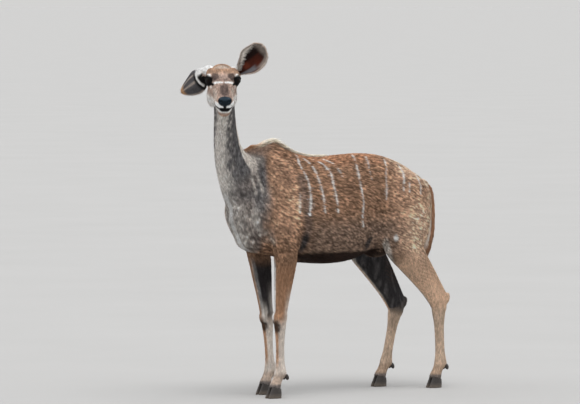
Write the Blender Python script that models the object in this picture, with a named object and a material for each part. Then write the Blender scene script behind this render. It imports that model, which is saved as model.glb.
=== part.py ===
"""A female greater kudu, life size, standing still with its head turned to its left.

The body is lofted from cross-sections, its muscles are ellipsoids, and the two are fused by a voxel
remesh, smoothed, and parted with thin cuts into the pieces that a person would name.
"""

import math
import random

import bmesh
import bpy
from mathutils import Matrix, Vector
from mathutils.bvhtree import BVHTree

# Driving dimensions, in metres. The model's own frame has the withers above x = 0, the head towards -X,
# the animal's left side towards -Y and the floor at z = 0.
WITHERS_HEIGHT = 1.255
BACK_HEIGHT = 1.182
BELLY_HEIGHT = 0.652
CHEST_FRONT = -0.222
BUTTOCK = 0.985
BARREL_HALF_WIDTH = 0.200
HEAD_LENGTH = 0.350
HEAD_TURN = math.radians(56)
HEAD_PITCH = math.radians(18)
EYE_RADIUS = 0.0200
EAR_LENGTH = 0.196
CORONET_HEIGHT = 0.052
GAP = 0.0003

# Where the withers' foot stands in the finished part, whose origin is the middle of its base.
WITHERS_AT = Vector((-0.2540, 0.1062, 0.0))

RING_SIDES = 28
BODY_VOXEL = 0.0075
HEAD_VOXEL = 0.0042
BODY_TRIANGLES = 5200
HEAD_TRIANGLES = 2050

LEFT, RIGHT = -1, 1


# Scene and materials


def clear_scene():
    for old in list(bpy.data.objects):
        bpy.data.objects.remove(old)


def finish_of(name, colour, roughness):
    """One plain finish: a colour and how rough it is."""
    material = bpy.data.materials.get(name)
    if material is None:
        material = bpy.data.materials.new(name)
        material.use_nodes = True
        shader = material.node_tree.nodes["Principled BSDF"]
        shader.inputs["Base Color"].default_value = (*colour, 1.0)
        shader.inputs["Roughness"].default_value = roughness
        shader.inputs["Metallic"].default_value = 0.0
    return material


def coat_finish():
    return finish_of("coat", (0.27, 0.17, 0.115), 0.85)


def mane_finish():
    return finish_of("mane", (0.24, 0.15, 0.10), 0.8)


def horn_finish():
    return finish_of("hoof_horn", (0.035, 0.03, 0.028), 0.4)


def eye_finish():
    return finish_of("eye", (0.012, 0.009, 0.008), 0.08)


# Shape tools


def through(stations, steps):
    """Rows of numbers that pass smoothly through the stations, steps rows to each stretch."""
    rows = []
    last = len(stations) - 1
    for i in range(last):
        four = (stations[max(i - 1, 0)], stations[i], stations[i + 1], stations[min(i + 2, last)])
        for step in range(steps):
            t = step / steps
            rows.append(tuple(
                0.5 * (2 * b + (c - a) * t + (2 * a - 5 * b + 4 * c - d) * t**2
                       + (3 * b - a - 3 * c + d) * t**3)
                for a, b, c, d in zip(*four)
            ))
    rows.append(tuple(stations[-1]))
    return rows


def rounded(value, power):
    """A sine or cosine pushed towards a squarer or a sharper outline."""
    return math.copysign(abs(value) ** power, value)


def upright_section(x, top, wide, bottom, half, top_power, low_power):
    """A trunk's cross-section: widest at height wide, with a sharper or fuller top and underside."""

    def point(angle):
        power = top_power if math.sin(angle) > 0 else low_power
        reach = top - wide if math.sin(angle) > 0 else wide - bottom
        return Vector((
            x,
            half * rounded(math.cos(angle), power),
            wide + reach * rounded(math.sin(angle), power),
        ))

    return point


def limb_sections(rows, turn=None):
    """Cross-sections square to a path. A row is x, y, z, half depth and half width; turn gives the heading
    at each row, where the limb twists."""
    points = [Vector(row[:3]) for row in rows]
    sections = []
    for i, row in enumerate(rows):
        along = (points[min(i + 1, len(rows) - 1)] - points[max(i - 1, 0)]).normalized()
        heading = turn[i] if turn else 0.0
        side = Vector((-math.sin(heading), math.cos(heading), 0.0))
        side = (side - along * side.dot(along)).normalized()
        front = along.cross(side)
        sections.append(lambda a, c=points[i], s=side, f=front, r=row: (
            c + s * r[4] * math.cos(a) + f * r[3] * math.sin(a)
        ))
    return sections


def object_of(name, bm):
    bmesh.ops.recalc_face_normals(bm, faces=bm.faces)
    mesh = bpy.data.meshes.new(name)
    bm.to_mesh(mesh)
    bm.free()
    made = bpy.data.objects.new(name, mesh)
    bpy.context.scene.collection.objects.link(made)
    return made


def ring_edges(verts):
    ring = set(verts)
    return [e for e in {e for v in verts for e in v.link_edges} if set(e.verts) <= ring]


def add_loft(bm, sections, sides=RING_SIDES):
    """A closed skin over the sections, each of which turns an angle into a point."""
    rings = []
    for section in sections:
        verts = bmesh.ops.create_circle(bm, segments=sides, radius=1.0)["verts"]
        for v in verts:
            v.co = section(math.atan2(v.co.y, v.co.x))
        rings.append(verts)
    for first, second in zip(rings, rings[1:]):
        bmesh.ops.bridge_loops(bm, edges=ring_edges(first) + ring_edges(second))
    for end in (rings[0], rings[-1]):
        bmesh.ops.contextual_create(bm, geom=ring_edges(end))


def loft(name, sections, sides=RING_SIDES):
    bm = bmesh.new()
    add_loft(bm, sections, sides)
    return object_of(name, bm)


def add_ellipsoid(bm, centre, radii, pitch=0.0, heading=0.0, sides=20):
    """A ball stretched to three half sizes, pitched about Y and then turned about Z."""
    place = (
        Matrix.Translation(Vector(centre))
        @ Matrix.Rotation(heading, 4, "Z")
        @ Matrix.Rotation(pitch, 4, "Y")
        @ Matrix.Diagonal((*radii, 1.0))
    )
    bmesh.ops.create_uvsphere(bm, u_segments=sides, v_segments=sides // 2, radius=1.0, matrix=place)


def evaluated_copy(made):
    """Replaces an object's mesh by what its modifiers make of it."""
    graph = bpy.context.evaluated_depsgraph_get()
    mesh = bpy.data.meshes.new_from_object(made.evaluated_get(graph))
    made.modifiers.clear()
    made.data = mesh
    return made


def fuse(made, voxel):
    """Melts overlapping closed forms into one skin."""
    remesh = made.modifiers.new("fuse", "REMESH")
    remesh.mode = "VOXEL"
    remesh.voxel_size = voxel
    return evaluated_copy(made)


def relax(made, rounds, wanted=lambda co: True):
    """Smooths the part of a skin that wanted picks."""
    bm = bmesh.new()
    bm.from_mesh(made.data)
    verts = [v for v in bm.verts if wanted(v.co)]
    for _ in range(rounds):
        bmesh.ops.smooth_vert(
            bm, verts=verts, factor=0.5, use_axis_x=True, use_axis_y=True, use_axis_z=True
        )
    bm.to_mesh(made.data)
    bm.free()


def thin_out(made, triangles):
    """Keeps about that many triangles, most where the skin curves most."""
    made.data.calc_loop_triangles()
    decimate = made.modifiers.new("thin out", "DECIMATE")
    decimate.ratio = min(1.0, triangles / len(made.data.loop_triangles))
    decimate.use_collapse_triangulate = True
    return evaluated_copy(made)


def keep_largest(made):
    """Keeps an object's largest closed surface."""
    bm = bmesh.new()
    bm.from_mesh(made.data)
    left = set(bm.verts)
    shells = []
    while left:
        shell, edge = set(), [left.pop()]
        while edge:
            v = edge.pop()
            shell.add(v)
            for e in v.link_edges:
                other = e.other_vert(v)
                if other in left:
                    left.discard(other)
                    edge.append(other)
        shells.append(shell)
    shells.sort(key=len)
    for scrap in shells[:-1]:
        bmesh.ops.delete(bm, geom=list(scrap), context="VERTS")
    bm.to_mesh(made.data)
    bm.free()
    return made


def combine(made, others, operation, solver="EXACT"):
    """One Boolean with a collection of closed meshes, which are then removed."""
    group = bpy.data.collections.new("operands")
    bpy.context.scene.collection.children.link(group)
    for other in others:
        for home in list(other.users_collection):
            home.objects.unlink(other)
        group.objects.link(other)
    boolean = made.modifiers.new("combine", "BOOLEAN")
    boolean.operation = operation
    boolean.operand_type = "COLLECTION"
    boolean.collection = group
    boolean.solver = solver
    evaluated_copy(made)
    for other in others:
        bpy.data.objects.remove(other)
    bpy.data.collections.remove(group)
    return keep_largest(made)


def copy_of(made, name):
    twin = made.copy()
    twin.data = made.data.copy()
    twin.name = name
    bpy.context.scene.collection.objects.link(twin)
    return twin


def swollen(made, by=GAP):
    """A copy that stands proud of the object all over."""
    twin = copy_of(made, made.name + "_swollen")
    bm = bmesh.new()
    bm.from_mesh(twin.data)
    bm.normal_update()
    moves = [(v, v.normal * by) for v in bm.verts]
    for v, move in moves:
        v.co += move
    bm.to_mesh(twin.data)
    bm.free()
    return twin


def trim(made, point, outward):
    """Cuts away what lies beyond a plane and closes the cut."""
    bm = bmesh.new()
    bm.from_mesh(made.data)
    cut = bmesh.ops.bisect_plane(
        bm,
        geom=bm.verts[:] + bm.edges[:] + bm.faces[:],
        dist=1e-6,
        plane_co=point,
        plane_no=outward,
        clear_outer=True,
    )["geom_cut"]
    rim = [e for e in cut if isinstance(e, bmesh.types.BMEdge)]
    caps = bmesh.ops.contextual_create(bm, geom=rim)["faces"]
    bmesh.ops.triangulate(bm, faces=caps)
    bmesh.ops.recalc_face_normals(bm, faces=bm.faces)
    bm.to_mesh(made.data)
    bm.free()
    return keep_largest(made)


def named(made, name, material):
    made.name = name
    made.data.name = name
    made.data.materials.clear()
    made.data.materials.append(material)
    made.data.shade_smooth()
    made.data.set_sharp_from_angle(angle=math.radians(50))
    return made


# The trunk: x, top, widest level, underside, half width, and how sharp the top and underside are.

TRUNK_STATIONS = (
    (CHEST_FRONT, 0.975, 0.920, 0.870, 0.045, 1.0, 1.0),
    (-0.185, 1.060, 0.915, 0.797, 0.086, 1.0, 1.0),
    (-0.130, 1.165, 0.905, 0.744, 0.118, 1.0, 1.0),
    (-0.055, 1.228, 0.895, 0.708, 0.143, 1.10, 1.0),
    (0.025, WITHERS_HEIGHT, 0.890, 0.690, 0.158, 1.20, 1.0),
    (0.120, 1.215, 0.885, 0.672, 0.174, 1.12, 0.95),
    (0.225, 1.182, 0.882, 0.660, 0.190, 1.0, 0.92),
    (0.345, 1.176, 0.882, BELLY_HEIGHT, BARREL_HALF_WIDTH, 0.95, 0.92),
    (0.460, BACK_HEIGHT, 0.890, 0.657, 0.196, 0.92, 0.95),
    (0.575, 1.186, 0.905, 0.680, 0.182, 0.92, 1.0),
    (0.690, 1.177, 0.925, 0.706, 0.164, 0.92, 1.0),
    (0.800, 1.145, 0.940, 0.735, 0.146, 0.95, 1.0),
    (0.900, 1.098, 0.940, 0.775, 0.112, 1.0, 1.0),
    (BUTTOCK, 1.030, 0.940, 0.850, 0.052, 1.0, 1.0),
)


def add_trunk(bm):
    add_loft(bm, [upright_section(*row) for row in through(TRUNK_STATIONS, 3)], sides=36)


def add_muscles(bm):
    """The masses that show under the skin, on both sides."""
    for side in (LEFT, RIGHT):
        # Shoulder blade, shoulder point and triceps.
        add_ellipsoid(bm, (0.006, side * 0.088, 0.990), (0.092, 0.066, 0.195), math.radians(16))
        add_ellipsoid(bm, (-0.086, side * 0.098, 0.885), (0.072, 0.058, 0.100), math.radians(-20))
        add_ellipsoid(bm, (0.028, side * 0.114, 0.850), (0.098, 0.058, 0.130), math.radians(20))
        # Hip bone, haunch, thigh and buttock.
        add_ellipsoid(bm, (0.640, side * 0.105, 1.076), (0.095, 0.044, 0.062), math.radians(20))
        add_ellipsoid(bm, (0.800, side * 0.084, 0.990), (0.160, 0.082, 0.116), math.radians(20))
        add_ellipsoid(bm, (0.780, side * 0.118, 0.850), (0.160, 0.076, 0.185), math.radians(-14))
        add_ellipsoid(bm, (0.905, side * 0.075, 0.890), (0.075, 0.062, 0.165), math.radians(8))
    # Nape hump, brisket between the forelegs, and the small udder between the thighs.
    add_ellipsoid(bm, (-0.085, 0.0, 1.150), (0.085, 0.044, 0.084))
    add_ellipsoid(bm, (-0.070, 0.0, 0.775), (0.115, 0.085, 0.070), math.radians(12))
    add_ellipsoid(bm, (0.690, 0.0, 0.720), (0.085, 0.075, 0.060))


# The neck: a path with half depths and half widths, and the heading that it turns to on the way up.

NECK_STATIONS = (
    (-0.020, 0.000, 0.940, 0.185, 0.110),
    (-0.110, 0.000, 1.020, 0.150, 0.098),
    (-0.185, -0.004, 1.105, 0.112, 0.078),
    (-0.238, -0.014, 1.190, 0.090, 0.062),
    (-0.275, -0.036, 1.285, 0.079, 0.055),
    (-0.303, -0.064, 1.380, 0.074, 0.051),
    (-0.334, -0.100, 1.465, 0.074, 0.050),
    (-0.378, -0.150, 1.530, 0.074, 0.050),
)
NECK_CUT = (Vector((-0.165, 0.0, 1.085)), Vector((-0.68, 0.0, 0.73)))
HEAD_CUT = (Vector((-0.337, -0.104, 1.487)), Vector((-0.55, -0.70, 0.46)))


def neck_turns(count):
    """The neck stays square to the chest at its base and twists towards the head's heading."""
    return [HEAD_TURN * min(1.0, max(0.0, (i / (count - 1) - 0.25) / 0.65)) for i in range(count)]


def add_neck(bm):
    rows = through(NECK_STATIONS, 4)
    add_loft(bm, limb_sections(rows, neck_turns(len(rows))), sides=28)


# The legs: joints of each leg, and rings that ride between them.

FORELEG_RINGS = (
    # bone, part of the way down it, half depth, half width
    (0, 0.35, 0.082, 0.050),
    (0, 0.85, 0.074, 0.050),
    (1, 0.18, 0.064, 0.046),
    (1, 0.42, 0.053, 0.041),
    (1, 0.66, 0.043, 0.035),
    (1, 0.88, 0.036, 0.031),
    (2, 0.00, 0.036, 0.033),
    (2, 0.14, 0.031, 0.028),
    (2, 0.45, 0.0235, 0.0215),
    (2, 0.80, 0.0235, 0.0220),
    (3, 0.00, 0.0300, 0.0275),
    (3, 0.50, 0.0245, 0.0245),
    (3, 0.90, 0.0290, 0.0290),
    (3, 1.25, 0.0290, 0.0290),
)
HINDLEG_RINGS = (
    (0, 0.30, 0.130, 0.062),
    (0, 0.80, 0.125, 0.064),
    (1, 0.05, 0.112, 0.060),
    (1, 0.30, 0.090, 0.050),
    (1, 0.55, 0.068, 0.040),
    (1, 0.80, 0.050, 0.033),
    (2, 0.00, 0.048, 0.032),
    (2, 0.16, 0.038, 0.029),
    (2, 0.40, 0.0275, 0.0225),
    (2, 0.80, 0.0255, 0.0230),
    (3, 0.00, 0.0320, 0.0280),
    (3, 0.50, 0.0255, 0.0250),
    (3, 0.90, 0.0300, 0.0295),
    (3, 1.25, 0.0300, 0.0295),
)
LEGS = {
    # shoulder or hip, elbow or stifle, knee or hock, fetlock, coronet
    "foreleg_left": (
        (-0.055, -0.118, 0.930), (0.030, -0.126, 0.735), (0.000, -0.112, 0.388),
        (0.004, -0.108, 0.128), (-0.030, -0.108, CORONET_HEIGHT),
    ),
    "foreleg_right": (
        (-0.055, 0.118, 0.930), (0.045, 0.122, 0.735), (0.082, 0.098, 0.380),
        (0.098, 0.094, 0.128), (0.066, 0.094, CORONET_HEIGHT),
    ),
    "hindleg_left": (
        (0.765, -0.105, 0.940), (0.745, -0.132, 0.755), (1.000, -0.122, 0.425),
        (1.018, -0.116, 0.130), (0.984, -0.116, CORONET_HEIGHT),
    ),
    "hindleg_right": (
        (0.755, 0.105, 0.940), (0.715, 0.132, 0.740), (0.920, 0.118, 0.398),
        (0.852, 0.112, 0.128), (0.812, 0.112, CORONET_HEIGHT),
    ),
}


def leg_rows(name):
    """The rings of one leg as x, y, z, half depth and half width."""
    joints = [Vector(j) for j in LEGS[name]]
    rings = FORELEG_RINGS if name.startswith("fore") else HINDLEG_RINGS
    rows = []
    for bone, part, depth, width in rings:
        centre = joints[bone].lerp(joints[bone + 1], part)
        rows.append((*centre, depth, width))
    return rows


def add_leg(bm, name):
    add_loft(bm, limb_sections(through(leg_rows(name), 3)), sides=24)
    shoulder, elbow, knee, fetlock, _ = (Vector(j) for j in LEGS[name])
    shin = (fetlock - knee).normalized()
    if name.startswith("fore"):
        # Point of the elbow, and the knee's flat front.
        add_ellipsoid(bm, elbow + Vector((0.050, 0, 0.020)), (0.034, 0.026, 0.042))
        add_ellipsoid(bm, knee + Vector((-0.012, 0, 0.004)), (0.030, 0.0325, 0.042))
        add_ellipsoid(bm, knee + Vector((0.026, 0, 0.012)), (0.016, 0.018, 0.024))
    else:
        # Heel bone, the tendon up to it, and the kneecap.
        heel = knee + Vector((0.046, 0, 0.016)) - shin * 0.004
        calf = elbow.lerp(knee, 0.30) + Vector((0.062, 0, 0.012))
        add_ellipsoid(bm, heel, (0.022, 0.021, 0.036), math.radians(24))
        tendon = [(*calf.lerp(heel, t), 0.030 - 0.013 * t, 0.026 - 0.007 * t) for t in (0, 0.33, 0.66, 1)]
        add_loft(bm, limb_sections(tendon), sides=12)
        web = calf.lerp(heel, 0.45) + Vector((-0.030, 0, -0.016))
        add_ellipsoid(bm, web, (0.030, 0.013, 0.105), math.radians(-40))
        add_ellipsoid(bm, elbow + Vector((-0.076, 0, 0.012)), (0.044, 0.046, 0.064), math.radians(-25))
    # The swelling at the back of the fetlock.
    add_ellipsoid(bm, fetlock + Vector((0.016, 0, -0.006)), (0.019, 0.024, 0.026))


# The head, in its own frame: forward, left and up from between the ears.

HEAD_AT = Vector((-0.371, -0.127, 1.585))
HEAD_STATIONS = (
    # forward, top, widest level, underside, half width, top sharpness, underside sharpness
    (-0.035, 0.020, -0.010, -0.050, 0.034, 1.0, 1.0),
    (-0.010, 0.048, -0.010, -0.085, 0.053, 0.95, 1.0),
    (0.030, 0.066, -0.010, -0.118, 0.066, 0.90, 0.95),
    (0.070, 0.070, -0.012, -0.128, 0.070, 0.84, 1.00),
    (0.105, 0.069, -0.014, -0.126, 0.071, 0.80, 1.05),
    (0.140, 0.062, -0.018, -0.119, 0.067, 0.80, 1.10),
    (0.175, 0.050, -0.024, -0.110, 0.058, 0.84, 1.12),
    (0.215, 0.039, -0.030, -0.103, 0.048, 0.88, 1.10),
    (0.255, 0.031, -0.034, -0.100, 0.0420, 0.90, 1.0),
    (0.290, 0.025, -0.036, -0.100, 0.0405, 0.90, 0.95),
    (0.318, 0.019, -0.036, -0.095, 0.0385, 0.90, 0.95),
    (0.338, 0.009, -0.036, -0.082, 0.0320, 0.92, 0.95),
    (HEAD_LENGTH, -0.010, -0.034, -0.060, 0.0180, 1.0, 1.0),
)
EYE_AT = Vector((0.138, 0.0640, 0.020))
EYE_LOOKS = Vector((0.68, 0.73, 0.08)).normalized()
NOSTRIL_AT = Vector((0.3440, 0.0205, -0.0160))
NOSTRIL_LOBES = (
    # offset from the nostril, and half sizes
    ((0.0, 0.0, 0.0), (0.012, 0.0062, 0.0060)),
    ((-0.006, 0.0085, 0.0040), (0.012, 0.0050, 0.0042)),
)
MOUTH_LEVEL = -0.0560
MOUTH_CORNER = 0.248


def head_matrix():
    """Carries a point from the head's frame (forward, left, up) into the model's."""
    cosine, sine = math.cos(HEAD_TURN), math.sin(HEAD_TURN)
    level = Vector((-cosine, -sine, 0))
    left = Vector((sine, -cosine, 0))
    forward = level * math.cos(HEAD_PITCH) - Vector((0, 0, 1)) * math.sin(HEAD_PITCH)
    up = forward.cross(left)
    turn = Matrix((forward, left, up)).transposed().to_4x4()
    return Matrix.Translation(HEAD_AT) @ turn


def add_skull(bm):
    """The head's masses in its own frame."""
    add_loft(bm, [upright_section(*row) for row in through(HEAD_STATIONS, 3)], sides=32)
    for side in (LEFT, RIGHT):
        # Cheek, brow ridge, eye socket, tear line, lip and nostril wing.
        add_ellipsoid(bm, (0.080, side * 0.045, -0.076), (0.066, 0.027, 0.055), math.radians(12))
        add_ellipsoid(bm, (0.112, side * 0.050, 0.043), (0.050, 0.030, 0.022), math.radians(8))
        add_ellipsoid(bm, (0.126, side * 0.058, 0.014), (0.038, 0.026, 0.032))
        add_ellipsoid(bm, (0.190, side * 0.038, -0.006), (0.050, 0.016, 0.026), math.radians(16))
        add_ellipsoid(bm, (0.290, side * 0.027, -0.040), (0.048, 0.021, 0.022), math.radians(6))
        add_ellipsoid(bm, (0.330, side * 0.021, -0.012), (0.020, 0.0155, 0.017), math.radians(10))
    # The roots of the ears on the sides of the crown, the right one bent outwards.
    add_ellipsoid(bm, (0.010, 0.054, 0.012), (0.032, 0.026, 0.032))
    add_ellipsoid(bm, (0.004, -0.062, 0.020), (0.030, 0.032, 0.028))
    # Nose pad, lower lip and chin.
    add_ellipsoid(bm, (0.331, 0.0, -0.022), (0.0215, 0.030, 0.026), math.radians(10))
    add_ellipsoid(bm, (0.300, 0.0, -0.084), (0.036, 0.030, 0.022), math.radians(4))


def lid_tools():
    """For each side, the dome of the lids, the slit between them and the seat of the eyeball."""
    made = {}
    for side in (LEFT, RIGHT):
        at = Vector((EYE_AT.x, side * EYE_AT.y, EYE_AT.z))
        looks = Vector((EYE_LOOKS.x, side * EYE_LOOKS.y, EYE_LOOKS.z))
        for what, radius in (("dome", EYE_RADIUS + 0.0030), ("seat", EYE_RADIUS + GAP)):
            bm = bmesh.new()
            bmesh.ops.create_uvsphere(
                bm, u_segments=20, v_segments=12, radius=radius, matrix=Matrix.Translation(at)
            )
            made[what, side] = object_of(what, bm)
        bm = bmesh.new()
        bmesh.ops.create_uvsphere(bm, u_segments=16, v_segments=8, radius=1.0)
        across = Vector((0, 0, 1)).cross(looks).normalized()
        lift = looks.cross(across).normalized()
        frame = Matrix((looks, across, lift)).transposed().to_4x4()
        tilt = Matrix.Rotation(side * math.radians(14), 4, "X")
        sizes = Matrix.Diagonal((0.030, 0.0172, 0.0125, 1.0))
        bm.transform(Matrix.Translation(at + looks * 0.018) @ frame @ tilt @ sizes)
        made["slit", side] = object_of("slit", bm)
    return made


def mouth_cutter():
    """The line of the mouth: a thin wedge swept round the muzzle from corner to corner."""
    rows = []
    steps = 10
    for i in range(steps + 1):
        angle = math.pi * (i / steps - 0.5)
        forward = MOUTH_CORNER + (HEAD_LENGTH - 0.012 - MOUTH_CORNER) * math.cos(angle) ** 0.55
        lift = 0.010 * abs(math.sin(angle)) ** 3
        rows.append(Vector((forward, 0.0445 * math.sin(angle), MOUTH_LEVEL + lift)))
    bm = bmesh.new()
    rings = []
    for i, point in enumerate(rows):
        along = (rows[min(i + 1, steps)] - rows[max(i - 1, 0)]).normalized()
        out = along.cross(Vector((0, 0, 1))).normalized()
        if out.dot(Vector((point.x - 0.27, point.y, 0))) < 0:
            out.negate()
        lift = Vector((0, 0, 1))
        corners = (out * -0.0065, out * 0.009 + lift * 0.0022, out * 0.009 - lift * 0.0022)
        rings.append([bm.verts.new(point + corner) for corner in corners])
    for first, second in zip(rings, rings[1:]):
        for j in range(3):
            bm.faces.new((first[j], first[(j + 1) % 3], second[(j + 1) % 3], second[j]))
    bm.faces.new(rings[0])
    bm.faces.new(rings[-1])
    return object_of("mouth", bm)


def nostril_cutters():
    """Comma-shaped nostrils, each a bent pair of ellipsoids."""
    made = []
    for side in (LEFT, RIGHT):
        for offset, radii in NOSTRIL_LOBES:
            bm = bmesh.new()
            at = NOSTRIL_AT + Vector(offset)
            splay = side * math.radians(38)
            add_ellipsoid(bm, (at.x, side * at.y, at.z), radii, math.radians(10), splay, 10)
            made.append(object_of("nostril", bm))
    return made


# Ears: a cup that opens from a narrow tube, thin at its rim.

EARS = {
    # Where it grows, in the head's frame; its axis and the way the cup opens as left, up and forward.
    "ear_left": {
        "root": Vector((0.006, 0.064, 0.004)),
        "axis": (0.70, 0.70, -0.16),
        "opens": (0.14, -0.02, 1.0),
    },
    "ear_right": {
        "root": Vector((0.002, -0.078, 0.020)),
        "axis": (-0.56, -0.69, -0.46),
        "opens": (0.62, -0.40, -0.50),
    },
}
# Across the skin from rim to rim, at even steps from root to tip. The right ear hangs half folded.
EAR_WIDTHS = {
    "ear_left": (
        0.060, 0.083, 0.108, 0.130, 0.148, 0.160, 0.166, 0.167, 0.162, 0.151, 0.133, 0.104, 0.040,
    ),
    "ear_right": (
        0.060, 0.083, 0.110, 0.136, 0.152, 0.158, 0.154, 0.142, 0.125, 0.104, 0.082, 0.060, 0.028,
    ),
}
EAR_ROWS, EAR_COLUMNS = 12, 12
EAR_THICKNESS = 0.0032


def between(values, t):
    """The value a share t of the way along an evenly spaced list."""
    place = t * (len(values) - 1)
    i = min(int(place), len(values) - 2)
    return values[i] + (values[i + 1] - values[i]) * (place - i)


def ear_surface(name):
    """Rows of points over the ear's cup, from root to tip, with each row running from rim to rim."""
    ear = EARS[name]
    left, up, forward = ear["axis"]
    axis = Vector((forward, left, up)).normalized()
    left, up, forward = ear["opens"]
    opens = Vector((forward, left, up))
    opens = (opens - axis * opens.dot(axis)).normalized()
    side = axis.cross(opens)
    rows = []
    for i in range(EAR_ROWS + 1):
        t = i / EAR_ROWS
        width = between(EAR_WIDTHS[name], t)
        wrap = math.radians(300 - 178 * min(1.0, t / 0.5) ** 0.8 - 34 * max(0.0, t - 0.5))
        radius = width / wrap
        middle = ear["root"] + axis * (EAR_LENGTH * t) - opens * (0.012 * math.sin(math.pi * t))
        row = []
        for j in range(EAR_COLUMNS + 1):
            swing = wrap * (j / EAR_COLUMNS - 0.5)
            droop = -0.018 * t * (1 - math.cos(swing)) * EAR_LENGTH
            row.append(
                middle + side * (radius * math.sin(swing)) + opens * (radius * (1 - math.cos(swing)))
                + axis * droop
            )
        rows.append(row)
    return rows, axis, opens


def make_ear(name):
    rows, axis, opens = ear_surface(name)
    bm = bmesh.new()
    grid = [[bm.verts.new(p) for p in row] for row in rows]
    for i in range(EAR_ROWS):
        for j in range(EAR_COLUMNS):
            a, b = grid[i][j], grid[i][j + 1]
            c, d = grid[i + 1][j + 1], grid[i + 1][j]
            bm.faces.new((a, b, c))
            bm.faces.new((a, c, d))
    bmesh.ops.recalc_face_normals(bm, faces=bm.faces)
    bmesh.ops.solidify(bm, geom=bm.faces[:], thickness=EAR_THICKNESS)
    shell = object_of(name, bm)
    plug = bmesh.new()
    root = EARS[name]["root"]
    base = [
        (*(root + axis * reach + opens * 0.0095), radius, radius)
        for reach, radius in ((-0.010, 0.0120), (0.0, 0.0135), (0.016, 0.0115))
    ]
    add_loft(plug, limb_sections(base), sides=14)
    combine(shell, [object_of("plug", plug)], "UNION")
    shell.data.transform(head_matrix())
    return shell


# Hooves: two claws and two dewclaws to a foot.

CLAW_LENGTH = 0.072
CLAW_WIDTH = 0.0275
CLAW_SPLIT = 0.0030
CORONET_TILT = math.radians(13)


def claw_section(level, foot, side, length, width, shift):
    """The outline of one claw at a level: straight inside, rounded outside and pointed in front."""

    def point(angle):
        forward, outward = math.cos(angle), math.sin(angle)
        taper = 1.0 - 0.42 * max(0.0, forward) ** 1.5
        x = foot.x + shift - length / 2 * rounded(forward, 0.85)
        middle = CLAW_SPLIT / 2 + width / 2 - width * 0.10 * max(0.0, forward)
        y = side * (middle + width / 2 * rounded(outward, 0.7) * taper)
        z = level + (foot.x - x) * math.tan(CORONET_TILT) * (level / CORONET_HEIGHT)
        return Vector((x, foot.y + y, z))

    return point


def make_claw(foot, side):
    rise = CORONET_HEIGHT - GAP
    sections = (
        claw_section(0.0, foot, side, CLAW_LENGTH, CLAW_WIDTH, -0.010),
        claw_section(0.006, foot, side, CLAW_LENGTH * 1.01, CLAW_WIDTH * 1.03, -0.010),
        claw_section(rise * 0.55, foot, side, CLAW_LENGTH * 0.86, CLAW_WIDTH, -0.003),
        claw_section(rise, foot, side, CLAW_LENGTH * 0.70, CLAW_WIDTH * 0.93, 0.001),
    )
    return loft("claw", sections, sides=14)


def make_dewclaw(fetlock, side):
    """A small horn nub behind the fetlock."""
    bm = bmesh.new()
    at = fetlock + Vector((0.031, side * 0.0135, -0.026))
    add_ellipsoid(bm, at, (0.0105, 0.0085, 0.0165), math.radians(-24), 0.0, 8)
    return object_of("dewclaw", bm)


# Locks: flat tapered bundles of hair, four-sided, sunk at the root and bent along the way they lie.


def make_lock(root, out, lie, length, wide, thick, lift, heading=0.0):
    """A lock that leaves the skin at root and bends over from the way out to the way it lies.

    wide is its half size along the fold of the coat and thick its half size across."""
    rows = []
    for share, shape in ((0.0, 0.85), (0.30, 1.0), (0.68, 0.72), (1.0, 0.10)):
        rise = lift * math.sin(0.5 * math.pi * min(1.0, share / 0.68)) - LOCK_SINK * (1 - share) ** 4
        centre = root + lie * (length * share) + out * rise
        rows.append((*centre, wide * shape, max(thick * shape, 0.0005)))
    return loft("lock", limb_sections(rows, [heading] * len(rows)), sides=4)


LOCK_SINK = 0.012

# Tail: a flat hanging core, and the locks of its fringe.

TAIL_STATIONS = (
    (0.955, 0.0, 1.035, 0.024, 0.026),
    (1.000, 0.0, 1.020, 0.024, 0.026),
    (1.036, 0.0, 0.975, 0.021, 0.024),
    (1.050, 0.0, 0.900, 0.018, 0.025),
    (1.050, 0.0, 0.815, 0.016, 0.026),
    (1.038, 0.0, 0.740, 0.012, 0.020),
    (1.022, 0.0, 0.690, 0.007, 0.010),
)
TAIL_LOCKS = 17


def make_tail():
    """The tail's core with locks that fan to its sides and run past its end."""
    rows = through(TAIL_STATIONS, 2)
    tail = loft("tail", limb_sections(rows), sides=14)
    chance = random.Random(7)
    locks = []
    for i in range(TAIL_LOCKS):
        share = 0.30 + 0.66 * (i + 0.5) / TAIL_LOCKS
        row = rows[round(share * (len(rows) - 1))]
        after = rows[min(round(share * (len(rows) - 1)) + 1, len(rows) - 1)]
        before = rows[round(share * (len(rows) - 1)) - 1]
        fall = (Vector(after[:3]) - Vector(before[:3])).normalized()
        around = 2.4 * i + chance.uniform(-0.3, 0.3)
        out = Vector((math.sin(around), math.cos(around), 0.0))
        root = Vector((row[0] + row[3] * out.x, row[1] + row[4] * out.y, row[2])) - out * 0.004
        lie = (fall + out * chance.uniform(0.06, 0.16)).normalized()
        length = chance.uniform(0.060, 0.080)
        heading = math.atan2(-out.x, out.y) + math.pi / 2
        locks.append(make_lock(root, out, lie, length, 0.0028, 0.0078, 0.004, heading))
    return combine(tail, locks, "UNION", "MANIFOLD")


# The crest of hair along the nape, the withers and the fore back.

CREST_SPACING = 0.0225


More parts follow.
